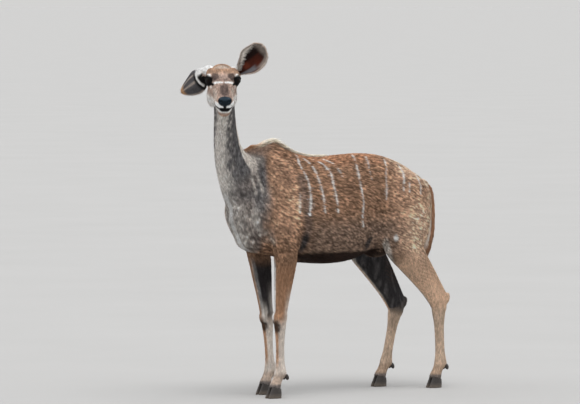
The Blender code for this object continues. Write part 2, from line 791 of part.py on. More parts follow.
def crest_line(body):
    """From the poll to the back: where the crest stands on the skin, the way out, the way it lies, the
    heading of its middle plane, and how long the hair is."""
    tree = BVHTree.FromObject(body, bpy.context.evaluated_depsgraph_get())
    rows = through(NECK_STATIONS, 4)
    turns = neck_turns(len(rows))
    line = []
    for i in range(len(rows) - 5, 10, -1):
        centre = Vector(rows[i][:3])
        out = (limb_sections(rows, turns)[i](-math.pi / 2) - centre).normalized()
        hit = tree.ray_cast(centre + out * 0.4, -out)[0]
        down = (Vector(rows[i - 1][:3]) - Vector(rows[i + 1][:3])).normalized()
        line.append((hit, out, down, turns[i], 0.030))
    for x, length in zip(BACK_CREST_AT, BACK_CREST_LENGTHS):
        hit, here, further = (
            tree.ray_cast(Vector((x + step, 0.0, 2.0)), Vector((0, 0, -1)))[0] for step in (0, -0.02, 0.02)
        )
        lie = (further - here).normalized()
        line.append((hit, Vector((-lie.z, 0, lie.x)), lie, 0.0, length))
    return line


BACK_CREST_AT = (-0.150, -0.120, -0.080, -0.035, 0.010, 0.055, 0.105, 0.160, 0.220, 0.290, 0.360)
BACK_CREST_LENGTHS = (0.040, 0.046, 0.052, 0.060, 0.066, 0.066, 0.064, 0.058, 0.048, 0.042, 0.034)


def crest_locks(line):
    """Locks at even steps along the crest, leaning to either side in turn."""
    chance = random.Random(3)
    locks = []
    spare = 0.0
    for first, second in zip(line, line[1:]):
        stretch = (second[0] - first[0]).length
        while spare < stretch:
            t = spare / stretch
            base, out, lie, heading, length = (a + (b - a) * t for a, b in zip(first, second))
            out, lie = out.normalized(), lie.normalized()
            lean = (1 if len(locks) % 2 else -1) * chance.uniform(0.003, 0.008)
            side = out.cross(lie).normalized() * lean
            size = length * chance.uniform(0.85, 1.1)
            along = (lie + side * 9).normalized()
            place = base + side * 0.6
            locks.append(make_lock(place, out, along, size, size * 0.19, 0.0046, size * 0.23, heading))
            spare += CREST_SPACING
        spare -= stretch
    return locks


# Putting it together


def body_skin():
    bm = bmesh.new()
    add_trunk(bm)
    add_muscles(bm)
    add_neck(bm)
    for name in LEGS:
        add_leg(bm, name)
    body = fuse(object_of("body", bm), BODY_VOXEL)
    relax(body, 4)
    relax(body, 34, lambda co: co.z > 0.70 and co.x > -0.20)
    relax(body, 8, lambda co: co.z > 0.60)
    return thin_out(body, BODY_TRIANGLES)


def head_skin():
    bm = bmesh.new()
    add_skull(bm)
    bm.transform(head_matrix())
    add_neck(bm)
    head = fuse(object_of("head", bm), HEAD_VOXEL)
    relax(head, 5)
    trim(head, HEAD_CUT[0] + HEAD_CUT[1].normalized() * GAP, -HEAD_CUT[1])
    thin_out(head, HEAD_TRIANGLES)
    tools = lid_tools()
    for tool in tools.values():
        tool.data.transform(head_matrix())
    combine(head, [tools["dome", side] for side in (LEFT, RIGHT)], "UNION")
    cutters = [tools[what, side] for what in ("seat", "slit") for side in (LEFT, RIGHT)]
    for cutter in [mouth_cutter(), *nostril_cutters()]:
        cutter.data.transform(head_matrix())
        cutters.append(cutter)
    combine(head, cutters, "DIFFERENCE")
    return head


def roof_over(fore, x, y):
    """How high the cut between leg and trunk runs, rising outwards."""
    if fore:
        return 0.640 + 0.42 * abs(y)
    return 0.615 + 0.75 * abs(y) + 0.25 * (x - 0.58)


def leg_block(name, swell):
    """The space that holds one leg, under the cut that parts it from the trunk."""
    fore = name.startswith("fore")
    side = LEFT if name.endswith("left") else RIGHT
    bm = bmesh.new()
    for x in (-0.40, 0.140) if fore else (0.555, 1.40):
        for y in (side * -0.002, side * 0.40):
            bm.verts.new((x, y, roof_over(fore, x, y) + swell))
            bm.verts.new((x, y, -0.20))
    bmesh.ops.convex_hull(bm, input=bm.verts[:])
    return object_of("block", bm)


def foot_of(name):
    return Vector(LEGS[name][4])


def part_leg(body, name):
    """One leg down to its coronet."""
    leg = combine(copy_of(body, name), [leg_block(name, 0.0)], "INTERSECT")
    foot = foot_of(name)
    return trim(leg, foot, Vector((-math.sin(CORONET_TILT), 0.0, -math.cos(CORONET_TILT))))


def clear_of(made, parent):
    """Cuts an object back to just clear of the one that it grows from."""
    return combine(made, [swollen(parent)], "DIFFERENCE")


def main():
    clear_scene()
    body = body_skin()
    combine(body, crest_locks(crest_line(body)), "UNION", "MANIFOLD")
    neck_out = NECK_CUT[1].normalized()
    head_out = HEAD_CUT[1].normalized()

    neck = trim(copy_of(body, "neck"), HEAD_CUT[0], head_out)
    trim(neck, NECK_CUT[0] + neck_out * GAP, -neck_out)
    named(neck, "neck", coat_finish())
    torso = trim(copy_of(body, "torso"), NECK_CUT[0], neck_out)
    for name in LEGS:
        named(part_leg(body, name), name, coat_finish())
    combine(torso, [leg_block(name, GAP) for name in LEGS], "DIFFERENCE")
    named(torso, "torso", coat_finish())
    bpy.data.objects.remove(body)

    head = named(head_skin(), "head", coat_finish())
    for name in EARS:
        named(clear_of(make_ear(name), head), name, coat_finish())
    for side, word in ((LEFT, "right"), (RIGHT, "left")):
        bm = bmesh.new()
        at = Vector((EYE_AT.x, side * EYE_AT.y, EYE_AT.z))
        bmesh.ops.create_uvsphere(
            bm,
            u_segments=20,
            v_segments=12,
            radius=EYE_RADIUS,
            matrix=head_matrix() @ Matrix.Translation(at),
        )
        named(object_of("eye", bm), "eye_" + word, eye_finish())

    named(clear_of(make_tail(), torso), "tail", mane_finish())

    for name in LEGS:
        leg = bpy.data.objects[name]
        foot, fetlock = foot_of(name), Vector(LEGS[name][3])
        for side, word in ((LEFT, "left"), (RIGHT, "right")):
            named(make_claw(foot, side), name + "_claw_" + word, horn_finish())
            nub = clear_of(make_dewclaw(fetlock, side), leg)
            named(nub, name + "_dewclaw_" + word, horn_finish())

    for made in bpy.data.objects:
        made.data.transform(Matrix.Translation(WITHERS_AT))


main()
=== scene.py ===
import math

import bmesh
import bpy
import numpy as np
from mathutils import Matrix, Vector
from mathutils.bvhtree import BVHTree


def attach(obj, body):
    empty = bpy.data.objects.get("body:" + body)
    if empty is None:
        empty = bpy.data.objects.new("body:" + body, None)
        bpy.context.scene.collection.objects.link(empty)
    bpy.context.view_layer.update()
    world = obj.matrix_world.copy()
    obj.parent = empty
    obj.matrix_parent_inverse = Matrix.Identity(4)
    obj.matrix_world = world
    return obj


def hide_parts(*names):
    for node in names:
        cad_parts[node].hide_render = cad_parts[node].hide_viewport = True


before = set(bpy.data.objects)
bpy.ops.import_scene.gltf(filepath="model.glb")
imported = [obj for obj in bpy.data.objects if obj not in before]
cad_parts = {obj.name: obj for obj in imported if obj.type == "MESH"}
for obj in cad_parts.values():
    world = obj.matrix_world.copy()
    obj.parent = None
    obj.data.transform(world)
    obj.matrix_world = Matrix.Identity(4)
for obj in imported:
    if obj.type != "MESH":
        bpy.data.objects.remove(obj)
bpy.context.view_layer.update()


# Room
# A plain pale floor under soft light from a bright ceiling, with a long lens at the height of a
# standing person, well back and a little to the left of the animal's front.

WITHERS_AT = Vector((-0.2540, 0.1062, 0.0))
CAMERA_AT = Vector((-13.447, -17.403, 1.916))
CAMERA_AIM = Vector((0.0843, -0.0832, 0.9566))
PICTURE_WIDTH = 580
FOCUS_IN_PIXELS = 4488


class Thread:
    """One output of a shader node, which takes part in sums as a number does."""

    def __init__(self, tree, socket=None):
        self.tree = tree
        self.socket = socket

    def node(self, kind, settings=None, sockets=None, out=0):
        """A new node: its settings are made first, then its sockets are set or linked."""
        made = self.tree.nodes.new(kind)
        for key, value in (settings or {}).items():
            if key == "stops":
                stops = made.color_ramp.elements
                for place, colour in value[2:]:
                    stops.new(place)
                for stop, (place, colour) in zip(stops, value):
                    stop.position = place
                    stop.color = (*colour, 1.0)
            else:
                setattr(made, key, value)
        for key, value in (sockets or {}).items():
            if isinstance(value, Thread):
                self.tree.links.new(value.socket, made.inputs[key])
            else:
                made.inputs[key].default_value = value
        return Thread(self.tree, made.outputs[out])

    def sum(self, operation, first, second):
        return self.node("ShaderNodeMath", {"operation": operation}, {0: first, 1: second})

    def __add__(self, other):
        return self.sum("ADD", self, other)

    def __radd__(self, other):
        return self.sum("ADD", other, self)

    def __sub__(self, other):
        return self.sum("SUBTRACT", self, other)

    def __rsub__(self, other):
        return self.sum("SUBTRACT", other, self)

    def __mul__(self, other):
        return self.sum("MULTIPLY", self, other)

    def __rmul__(self, other):
        return self.sum("MULTIPLY", other, self)

    def between(self, low, high):
        """0 where the number is under low and 1 where it is over high."""
        return self.node(
            "ShaderNodeMapRange", {"clamp": True}, {0: self, 1: low, 2: high, 3: 0.0, 4: 1.0}
        )

    def towards(self, first, second):
        """A colour that goes from first to second as this number goes from 0 to 1."""
        return self.node(
            "ShaderNodeMix", {"data_type": "RGBA"}, {0: self, 6: first, 7: second}, out=2
        )

    def shaded(self, amount):
        """This colour times a number."""
        return self.node(
            "ShaderNodeMix", {"data_type": "RGBA", "blend_type": "MULTIPLY"}, {0: 1.0, 6: self, 7: amount}, out=2
        )


def new_finish(name, roughness, specular=0.5):
    """A material with its surface shader and a thread to spin its other nodes from."""
    material = bpy.data.materials.new(name)
    material.use_nodes = True
    surface = material.node_tree.nodes["Principled BSDF"]
    surface.inputs["Roughness"].default_value = roughness
    surface.inputs["Specular IOR Level"].default_value = specular
    return material, Thread(material.node_tree), surface


def feed(surface, socket, thread):
    thread.tree.links.new(thread.socket, surface.inputs[socket])


def grains(thread, scale, detail=3.0, stretch=(1.0, 1.0, 1.0), turn=(0.0, 0.0, 0.0)):
    """Random values in space on the piece's own coordinates, stretched and turned where wanted."""
    place = thread.node("ShaderNodeTexCoord", out=3)
    place = thread.node("ShaderNodeMapping", None, {"Vector": place, "Rotation": turn, "Scale": stretch})
    return thread.node(
        "ShaderNodeTexNoise", None, {"Vector": place, "Scale": scale, "Detail": detail, "Roughness": 0.6}
    )


bm = bmesh.new()
bmesh.ops.create_grid(bm, x_segments=8, y_segments=8, size=6000.0)
floor_mesh = bpy.data.meshes.new("floor")
bm.to_mesh(floor_mesh)
bm.free()
floor = bpy.data.objects.new("floor", floor_mesh)
bpy.context.scene.collection.objects.link(floor)
floor_finish, thread, surface = new_finish("pale_floor", 0.9, 0.2)
mottle = grains(thread, 0.8)
feed(surface, "Base Color", mottle.towards((0.375, 0.370, 0.362, 1.0), (0.410, 0.405, 0.397, 1.0)))
floor_mesh.materials.append(floor_finish)

world = bpy.data.worlds.new("ceiling")
bpy.context.scene.world = world
world.use_nodes = True
thread = Thread(world.node_tree)
way = thread.node("ShaderNodeTexCoord", out=0)
height = thread.node("ShaderNodeSeparateXYZ", None, {0: way}, out=2)
sky = height.between(0.0, 0.85).towards((0.82, 0.82, 0.82, 1.0), (1.10, 1.12, 1.15, 1.0))
glow = height.between(0.002, 0.060).towards((1.05, 1.045, 1.03, 1.0), (1.0, 1.0, 1.0, 1.0))
sky = sky.shaded(glow)
world.node_tree.links.new(sky.socket, world.node_tree.nodes["Background"].inputs["Color"])
world.node_tree.nodes["Background"].inputs["Strength"].default_value = 0.76


def add_lamp(name, direction, strength, spread):
    """A broad, even lamp that shines along a direction."""
    lamp = bpy.data.lights.new(name, "SUN")
    lamp.energy = strength
    lamp.angle = math.radians(spread)
    stand = bpy.data.objects.new(name, lamp)
    stand.rotation_euler = Vector(direction).to_track_quat("-Z", "Y").to_euler()
    bpy.context.scene.collection.objects.link(stand)


add_lamp("ceiling_lamp", (0.15, 0.35, -1.0), 1.90, 40)
add_lamp("left_lamp", (0.75, -0.45, -0.55), 0.80, 60)
add_lamp("right_lamp", (-0.85, 0.30, -0.50), 0.80, 60)

lens = bpy.data.cameras.new("camera")
lens.sensor_width = 36.0
lens.lens = FOCUS_IN_PIXELS / PICTURE_WIDTH * 36.0
lens.clip_start = 1.0
lens.clip_end = 12000.0
camera = bpy.data.objects.new("camera", lens)
camera.location = CAMERA_AT + WITHERS_AT
camera.rotation_euler = (CAMERA_AIM - CAMERA_AT).to_track_quat("-Z", "Y").to_euler()
bpy.context.scene.collection.objects.link(camera)
bpy.context.scene.camera = camera
bpy.context.scene.view_settings.view_transform = "Standard"


# Skin
# One unbroken hide over trunk, neck, legs, tail, head and ears. It lies under the coat by the hair's
# depth, and every mass under it is a closed form that melts into the next one.

WITHERS_HEIGHT = 1.255
BACK_HEIGHT = 1.182
BELLY_HEIGHT = 0.652
CHEST_FRONT = -0.222
BUTTOCK = 0.985
BARREL_HALF_WIDTH = 0.200
HEAD_LENGTH = 0.350
HEAD_TURN = math.radians(56)
HEAD_PITCH = math.radians(18)
EYE_RADIUS = 0.0200
EAR_LENGTH = 0.196
CORONET_HEIGHT = 0.052
BODY_VOXEL = 0.0064
HEAD_VOXEL = 0.0022
SKIN_TRIANGLES = 190000
LEFT, RIGHT = -1, 1


def through(stations, steps):
    """Rows of numbers that pass smoothly through the stations, steps rows to each stretch."""
    rows = []
    last = len(stations) - 1
    for i in range(last):
        four = (stations[max(i - 1, 0)], stations[i], stations[i + 1], stations[min(i + 2, last)])
        for step in range(steps):
            t = step / steps
            rows.append(tuple(
                0.5 * (2 * b + (c - a) * t + (2 * a - 5 * b + 4 * c - d) * t**2
                       + (3 * b - a - 3 * c + d) * t**3)
                for a, b, c, d in zip(*four)
            ))
    rows.append(tuple(stations[-1]))
    return rows


def rounded(value, power):
    """A sine or cosine pushed towards a squarer or a sharper outline."""
    return math.copysign(abs(value) ** power, value)


def upright_section(x, top, wide, bottom, half, top_power, low_power):
    """A trunk's cross-section: widest at height wide, with a sharper or fuller top and underside."""

    def point(angle):
        power = top_power if math.sin(angle) > 0 else low_power
        reach = top - wide if math.sin(angle) > 0 else wide - bottom
        return Vector((
            x,
            half * rounded(math.cos(angle), power),
            wide + reach * rounded(math.sin(angle), power),
        ))

    return point


def limb_frames(rows, turn=None):
    """For each row of a path its centre, the way across and the way forward, square to the path."""
    points = [Vector(row[:3]) for row in rows]
    frames = []
    for i, point in enumerate(points):
        along = (points[min(i + 1, len(rows) - 1)] - points[max(i - 1, 0)]).normalized()
        heading = turn[i] if turn else 0.0
        side = Vector((-math.sin(heading), math.cos(heading), 0.0))
        side = (side - along * side.dot(along)).normalized()
        frames.append((point, side, along.cross(side), along))
    return frames


def limb_sections(rows, turn=None):
    """Cross-sections square to a path. A row is x, y, z, half depth and half width."""
    return [
        lambda a, c=c, s=s, f=f, r=r: c + s * r[4] * math.cos(a) + f * r[3] * math.sin(a)
        for (c, s, f, _), r in zip(limb_frames(rows, turn), rows)
    ]


def ring_edges(verts):
    ring = set(verts)
    edges = dict.fromkeys(e for v in verts for e in v.link_edges)
    return [e for e in edges if set(e.verts) <= ring]


def add_form(bm, form):
    """Adds a small form to a larger one."""
    mesh = bpy.data.meshes.new("form")
    form.to_mesh(mesh)
    form.free()
    bm.from_mesh(mesh)
    bpy.data.meshes.remove(mesh)


def add_loft(bm, sections, sides=32):
    """A closed skin over the sections, each of which turns an angle into a point."""
    form = bmesh.new()
    rings = []
    for section in sections:
        verts = bmesh.ops.create_circle(form, segments=sides, radius=1.0)["verts"]
        for v in verts:
            v.co = section(math.atan2(v.co.y, v.co.x))
        rings.append(verts)
    for first, second in zip(rings, rings[1:]):
        bmesh.ops.bridge_loops(form, edges=ring_edges(first) + ring_edges(second))
    for end in (rings[0], rings[-1]):
        bmesh.ops.contextual_create(form, geom=ring_edges(end))
    add_form(bm, form)


def add_ellipsoid(bm, centre, radii, pitch=0.0, heading=0.0, sides=28):
    """A ball stretched to three half sizes, pitched about Y and then turned about Z."""
    place = (
        Matrix.Translation(Vector(centre))
        @ Matrix.Rotation(heading, 4, "Z")
        @ Matrix.Rotation(pitch, 4, "Y")
        @ Matrix.Diagonal((*radii, 1.0))
    )
    form = bmesh.new()
    bmesh.ops.create_uvsphere(form, u_segments=sides, v_segments=sides // 2, radius=1.0, matrix=place)
    add_form(bm, form)


def piece_of(name, bm):
    bmesh.ops.recalc_face_normals(bm, faces=bm.faces)
    mesh = bpy.data.meshes.new(name)
    bm.to_mesh(mesh)
    bm.free()
    made = bpy.data.objects.new(name, mesh)
    bpy.context.scene.collection.objects.link(made)
    return made


def applied(made):
    """Replaces an object's mesh by what its modifiers make of it."""
    graph = bpy.context.evaluated_depsgraph_get()
    mesh = bpy.data.meshes.new_from_object(made.evaluated_get(graph))
    made.modifiers.clear()
    made.data = mesh
    return made


def fused(made, voxel):
    """Melts overlapping closed forms into one skin."""
    remesh = made.modifiers.new("fuse", "REMESH")
    remesh.mode = "VOXEL"
    remesh.voxel_size = voxel
    return applied(made)


def places_of(mesh, what="co"):
    """All the vertices' places or normals as one array."""
    values = np.empty(len(mesh.vertices) * 3)
    if what == "co":
        mesh.vertices.foreach_get("co", values)
    else:
        mesh.vertex_normals.foreach_get("vector", values)
    return values.reshape(-1, 3)


def smoothed(made, rounds, wanted):
    """Smooths the part of a form where wanted is true."""
    group = made.vertex_groups.new(name="soft")
    group.add(np.flatnonzero(wanted).tolist(), 1.0, "REPLACE")
    smooth = made.modifiers.new("smooth", "SMOOTH")
    smooth.factor = 0.5
    smooth.iterations = rounds
    smooth.vertex_group = "soft"
    applied(made)
    made.vertex_groups.clear()
    return made


def combined(made, others, operation):
    """One Boolean with a collection of closed forms, which are then removed."""
    group = bpy.data.collections.new("operands")
    bpy.context.scene.collection.children.link(group)
    for other in others:
        for home in list(other.users_collection):
            home.objects.unlink(other)
        group.objects.link(other)
    boolean = made.modifiers.new("combine", "BOOLEAN")
    boolean.operation = operation
    boolean.operand_type = "COLLECTION"
    boolean.collection = group
    boolean.solver = "MANIFOLD"
    applied(made)
    for other in others:
        bpy.data.objects.remove(other)
    bpy.data.collections.remove(group)
    return made


# Trunk: x, top, widest level, underside, half width, and how sharp the top and underside are.
TRUNK_STATIONS = (
    (CHEST_FRONT, 0.975, 0.920, 0.870, 0.045, 1.0, 1.0),
    (-0.185, 1.060, 0.915, 0.797, 0.086, 1.0, 1.0),
    (-0.130, 1.165, 0.905, 0.744, 0.118, 1.0, 1.0),
    (-0.055, 1.228, 0.895, 0.708, 0.143, 1.10, 1.0),
    (0.025, WITHERS_HEIGHT, 0.890, 0.690, 0.158, 1.20, 1.0),
    (0.120, 1.215, 0.885, 0.672, 0.174, 1.12, 0.95),
    (0.225, 1.182, 0.882, 0.660, 0.190, 1.0, 0.92),
    (0.345, 1.176, 0.882, BELLY_HEIGHT, BARREL_HALF_WIDTH, 0.95, 0.92),
    (0.460, BACK_HEIGHT, 0.890, 0.657, 0.196, 0.92, 0.95),
    (0.575, 1.186, 0.905, 0.680, 0.182, 0.92, 1.0),
    (0.690, 1.177, 0.925, 0.706, 0.164, 0.92, 1.0),
    (0.800, 1.145, 0.940, 0.735, 0.146, 0.95, 1.0),
    (0.900, 1.098, 0.940, 0.775, 0.112, 1.0, 1.0),
    (BUTTOCK, 1.030, 0.940, 0.850, 0.052, 1.0, 1.0),
)
# Neck: a path with half depths and half widths.
NECK_STATIONS = (
    (-0.020, 0.000, 0.940, 0.185, 0.110),
    (-0.110, 0.000, 1.020, 0.150, 0.098),
    (-0.185, -0.004, 1.105, 0.112, 0.078),
    (-0.238, -0.014, 1.190, 0.090, 0.062),
    (-0.275, -0.036, 1.285, 0.079, 0.055),
    (-0.303, -0.064, 1.380, 0.074, 0.051),
    (-0.334, -0.100, 1.465, 0.074, 0.050),
    (-0.378, -0.150, 1.530, 0.074, 0.050),
)
NECK_CUT = (Vector((-0.165, 0.0, 1.085)), Vector((-0.68, 0.0, 0.73)).normalized())
HEAD_CUT = (Vector((-0.337, -0.104, 1.487)), Vector((-0.55, -0.70, 0.46)).normalized())
# Legs: bone, part of the way down it, half depth and half width of each ring.
FORELEG_RINGS = (
    (0, 0.35, 0.082, 0.050),
    (0, 0.85, 0.074, 0.050),
    (1, 0.18, 0.064, 0.046),
    (1, 0.42, 0.053, 0.041),
    (1, 0.66, 0.043, 0.035),
    (1, 0.88, 0.036, 0.031),
    (2, 0.00, 0.036, 0.033),
    (2, 0.14, 0.031, 0.028),
    (2, 0.45, 0.0235, 0.0215),
    (2, 0.80, 0.0235, 0.0220),
    (3, 0.00, 0.0300, 0.0275),
    (3, 0.50, 0.0245, 0.0245),
    (3, 0.90, 0.0290, 0.0290),
    (3, 1.25, 0.0290, 0.0290),
)
HINDLEG_RINGS = (
    (0, 0.30, 0.130, 0.062),
    (0, 0.80, 0.125, 0.064),
    (1, 0.05, 0.112, 0.060),
    (1, 0.30, 0.090, 0.050),
    (1, 0.55, 0.068, 0.040),
    (1, 0.80, 0.050, 0.033),
    (2, 0.00, 0.048, 0.032),
    (2, 0.16, 0.038, 0.029),
    (2, 0.40, 0.0275, 0.0225),
    (2, 0.80, 0.0255, 0.0230),
    (3, 0.00, 0.0320, 0.0280),
    (3, 0.50, 0.0255, 0.0250),
    (3, 0.90, 0.0300, 0.0295),
    (3, 1.25, 0.0300, 0.0295),
)
# Shoulder or hip, elbow or stifle, knee or hock, fetlock and coronet of each leg.
LEGS = {
    "foreleg_left": (
        (-0.055, -0.118, 0.930), (0.030, -0.126, 0.735), (0.000, -0.112, 0.388),
        (0.004, -0.108, 0.128), (-0.030, -0.108, CORONET_HEIGHT),
    ),
    "foreleg_right": (
        (-0.055, 0.118, 0.930), (0.045, 0.122, 0.735), (0.082, 0.098, 0.380),
        (0.098, 0.094, 0.128), (0.066, 0.094, CORONET_HEIGHT),
    ),
    "hindleg_left": (
        (0.765, -0.105, 0.940), (0.745, -0.132, 0.755), (1.000, -0.122, 0.425),
        (1.018, -0.116, 0.130), (0.984, -0.116, CORONET_HEIGHT),
    ),
    "hindleg_right": (
        (0.755, 0.105, 0.940), (0.715, 0.132, 0.740), (0.920, 0.118, 0.398),
        (0.852, 0.112, 0.128), (0.812, 0.112, CORONET_HEIGHT),
    ),
}
# Tail: the path of its flat core.
TAIL_STATIONS = (
    (0.955, 0.0, 1.035, 0.024, 0.026),
    (1.000, 0.0, 1.020, 0.024, 0.026),
    (1.036, 0.0, 0.975, 0.019, 0.022),
    (1.050, 0.0, 0.900, 0.015, 0.020),
    (1.050, 0.0, 0.815, 0.012, 0.019),
    (1.038, 0.0, 0.740, 0.010, 0.014),
    (1.022, 0.0, 0.690, 0.006, 0.008),
)


def neck_path():
    """The neck's rows, and the heading that each one turns to on the way up."""
    rows = through(NECK_STATIONS, 4)
    last = len(rows) - 1
    return rows, [HEAD_TURN * min(1.0, max(0.0, (i / last - 0.25) / 0.65)) for i in range(last + 1)]


def add_neck(bm):
    rows, turns = neck_path()
    add_loft(bm, limb_sections(rows, turns), 40)


def leg_rows(name):
    """The rings of one leg as x, y, z, half depth and half width."""
    joints = [Vector(j) for j in LEGS[name]]
    rings = FORELEG_RINGS if name.startswith("fore") else HINDLEG_RINGS
    return [(*joints[bone].lerp(joints[bone + 1], part), depth, width) for bone, part, depth, width in rings]


def add_leg(bm, name):
    add_loft(bm, limb_sections(through(leg_rows(name), 4)), sides=32)
    shoulder, elbow, knee, fetlock, _ = (Vector(j) for j in LEGS[name])
    shin = (fetlock - knee).normalized()
    if name.startswith("fore"):
        # Point of the elbow, and the knee's flat front.
        add_ellipsoid(bm, elbow + Vector((0.050, 0, 0.020)), (0.034, 0.026, 0.042))
        add_ellipsoid(bm, knee + Vector((-0.012, 0, 0.004)), (0.030, 0.0325, 0.042))
        add_ellipsoid(bm, knee + Vector((0.026, 0, 0.012)), (0.016, 0.018, 0.024))
    else:
        # Heel bone, the tendon up to it, and the kneecap.
        heel = knee + Vector((0.046, 0, 0.016)) - shin * 0.004
        calf = elbow.lerp(knee, 0.30) + Vector((0.062, 0, 0.012))
        add_ellipsoid(bm, heel, (0.022, 0.021, 0.036), math.radians(24))
        tendon = [(*calf.lerp(heel, t), 0.030 - 0.013 * t, 0.026 - 0.007 * t) for t in (0, 0.33, 0.66, 1)]
        add_loft(bm, limb_sections(tendon), sides=20)
        web = calf.lerp(heel, 0.45) + Vector((-0.030, 0, -0.016))
        add_ellipsoid(bm, web, (0.030, 0.013, 0.105), math.radians(-40))
        add_ellipsoid(bm, elbow + Vector((-0.076, 0, 0.012)), (0.044, 0.046, 0.064), math.radians(-25))
    # The swelling at the back of the fetlock.
    add_ellipsoid(bm, fetlock + Vector((0.016, 0, -0.006)), (0.019, 0.024, 0.026))


bm = bmesh.new()
add_loft(bm, [upright_section(*row) for row in through(TRUNK_STATIONS, 4)], 48)
for side in (LEFT, RIGHT):
    # Shoulder blade, shoulder point and triceps.
    add_ellipsoid(bm, (0.006, side * 0.088, 0.990), (0.092, 0.066, 0.195), math.radians(16))
    add_ellipsoid(bm, (-0.086, side * 0.098, 0.885), (0.072, 0.058, 0.100), math.radians(-20))
    add_ellipsoid(bm, (0.028, side * 0.114, 0.850), (0.098, 0.058, 0.130), math.radians(20))
    # Hip bone, haunch, thigh and buttock.
    add_ellipsoid(bm, (0.640, side * 0.105, 1.076), (0.095, 0.044, 0.062), math.radians(20))
    add_ellipsoid(bm, (0.800, side * 0.084, 0.990), (0.160, 0.082, 0.116), math.radians(20))
    add_ellipsoid(bm, (0.780, side * 0.118, 0.850), (0.160, 0.076, 0.185), math.radians(-14))
    add_ellipsoid(bm, (0.905, side * 0.075, 0.890), (0.075, 0.062, 0.165), math.radians(8))
# Nape hump, brisket between the forelegs, and the small udder between the thighs.
add_ellipsoid(bm, (-0.085, 0.0, 1.150), (0.085, 0.044, 0.084))
add_ellipsoid(bm, (-0.070, 0.0, 0.775), (0.115, 0.085, 0.070), math.radians(12))
add_ellipsoid(bm, (0.690, 0.0, 0.720), (0.085, 0.075, 0.060))
add_neck(bm)
for name in LEGS:
    add_leg(bm, name)
add_loft(bm, limb_sections(through(TAIL_STATIONS, 4)), 20)
body = fused(piece_of("body_form", bm), BODY_VOXEL)
smoothed(body, 5, places_of(body.data)[:, 0] < 1.01)
at = places_of(body.data)
smoothed(body, 46, (at[:, 2] > 0.70) & (at[:, 0] > -0.20) & (at[:, 0] < 0.99))
at = places_of(body.data)
smoothed(body, 11, (at[:, 2] > 0.60) & (at[:, 0] < 1.0))


def cut_open(made, point, outward, cap=False):
    """Cuts away what lies beyond a plane, and leaves the rim open or closes it."""
    bm = bmesh.new()
    bm.from_mesh(made.data)
    cut = bmesh.ops.bisect_plane(
        bm, geom=bm.verts[:] + bm.edges[:] + bm.faces[:], dist=1e-6,
        plane_co=point, plane_no=outward, clear_outer=True,
    )["geom_cut"]
    if cap:
        rim = [e for e in cut if isinstance(e, bmesh.types.BMEdge)]
        caps = bmesh.ops.contextual_create(bm, geom=rim)["faces"]
        bmesh.ops.triangulate(bm, faces=caps)
    bm.to_mesh(made.data)
    bm.free()
    return made


def fade(value, start, end):
    """0 at start and 1 at end, with soft ends."""
    t = np.clip((value - start) / (end - start), 0.0, 1.0)
    return t * t * (3 - 2 * t)


def blend(first, second, share):
    """From first to second as share goes from 0 to 1."""
    return first + (second - first) * share


def hair_depth(at):
    """How far the hide lies under the tips of the coat."""
    legs = fade(at[:, 2], 0.74, 0.50)
    neck = fade(at[:, 0], -0.12, -0.22) * fade(at[:, 2], 0.95, 1.10)
    return blend(blend(0.0042, 0.0018, legs), 0.0020, neck)


def sunk(made, depth):
    """Moves a skin inwards along its normals."""
    at, out = places_of(made.data), places_of(made.data, "normal")
    made.data.vertices.foreach_set("co", (at - out * np.reshape(depth, (-1, 1))).ravel())
    made.data.update()


sunk(body, hair_depth(places_of(body.data)))
cut_open(body, HEAD_CUT[0] - HEAD_CUT[1] * 0.002, HEAD_CUT[1])

# Head, in its own frame: forward, left and up from between the ears.
HEAD_AT = Vector((-0.371, -0.127, 1.585))
HEAD_STATIONS = (
    # forward, top, widest level, underside, half width, top sharpness, underside sharpness
    (-0.035, 0.020, -0.010, -0.050, 0.034, 1.0, 1.0),
    (-0.010, 0.048, -0.010, -0.085, 0.053, 0.95, 1.0),
    (0.030, 0.066, -0.010, -0.118, 0.066, 0.90, 0.95),
    (0.070, 0.070, -0.012, -0.128, 0.070, 0.84, 1.00),
    (0.105, 0.069, -0.014, -0.126, 0.071, 0.80, 1.05),
    (0.140, 0.062, -0.018, -0.119, 0.067, 0.80, 1.10),
    (0.175, 0.050, -0.024, -0.110, 0.058, 0.84, 1.12),
    (0.215, 0.039, -0.030, -0.103, 0.048, 0.88, 1.10),
    (0.255, 0.031, -0.034, -0.100, 0.0420, 0.90, 1.0),
    (0.290, 0.025, -0.036, -0.100, 0.0405, 0.90, 0.95),
    (0.318, 0.019, -0.036, -0.095, 0.0385, 0.90, 0.95),
    (0.338, 0.009, -0.036, -0.082, 0.0320, 0.92, 0.95),
    (HEAD_LENGTH, -0.010, -0.034, -0.060, 0.0180, 1.0, 1.0),
)
EYE_AT = Vector((0.138, 0.0640, 0.020))
EYE_LOOKS = Vector((0.68, 0.73, 0.08)).normalized()
NOSTRIL_AT = Vector((0.3440, 0.0205, -0.0160))
NOSTRIL_LOBES = (
    # offset from the nostril, and half sizes
    ((0.0, 0.0, 0.0), (0.012, 0.0062, 0.0062)),
    ((-0.003, 0.0050, 0.0022), (0.012, 0.0056, 0.0050)),
    ((-0.007, 0.0095, 0.0058), (0.012, 0.0042, 0.0038)),
)
MOUTH_LEVEL = -0.0560
MOUTH_CORNER = 0.248


def head_matrix():
    """Carries a point from the head's frame (forward, left, up) into the body's."""
    cosine, sine = math.cos(HEAD_TURN), math.sin(HEAD_TURN)
    level = Vector((-cosine, -sine, 0))
    left = Vector((sine, -cosine, 0))
    forward = level * math.cos(HEAD_PITCH) - Vector((0, 0, 1)) * math.sin(HEAD_PITCH)
    up = forward.cross(left)
    turn = Matrix((forward, left, up)).transposed().to_4x4()
    return Matrix.Translation(HEAD_AT) @ turn


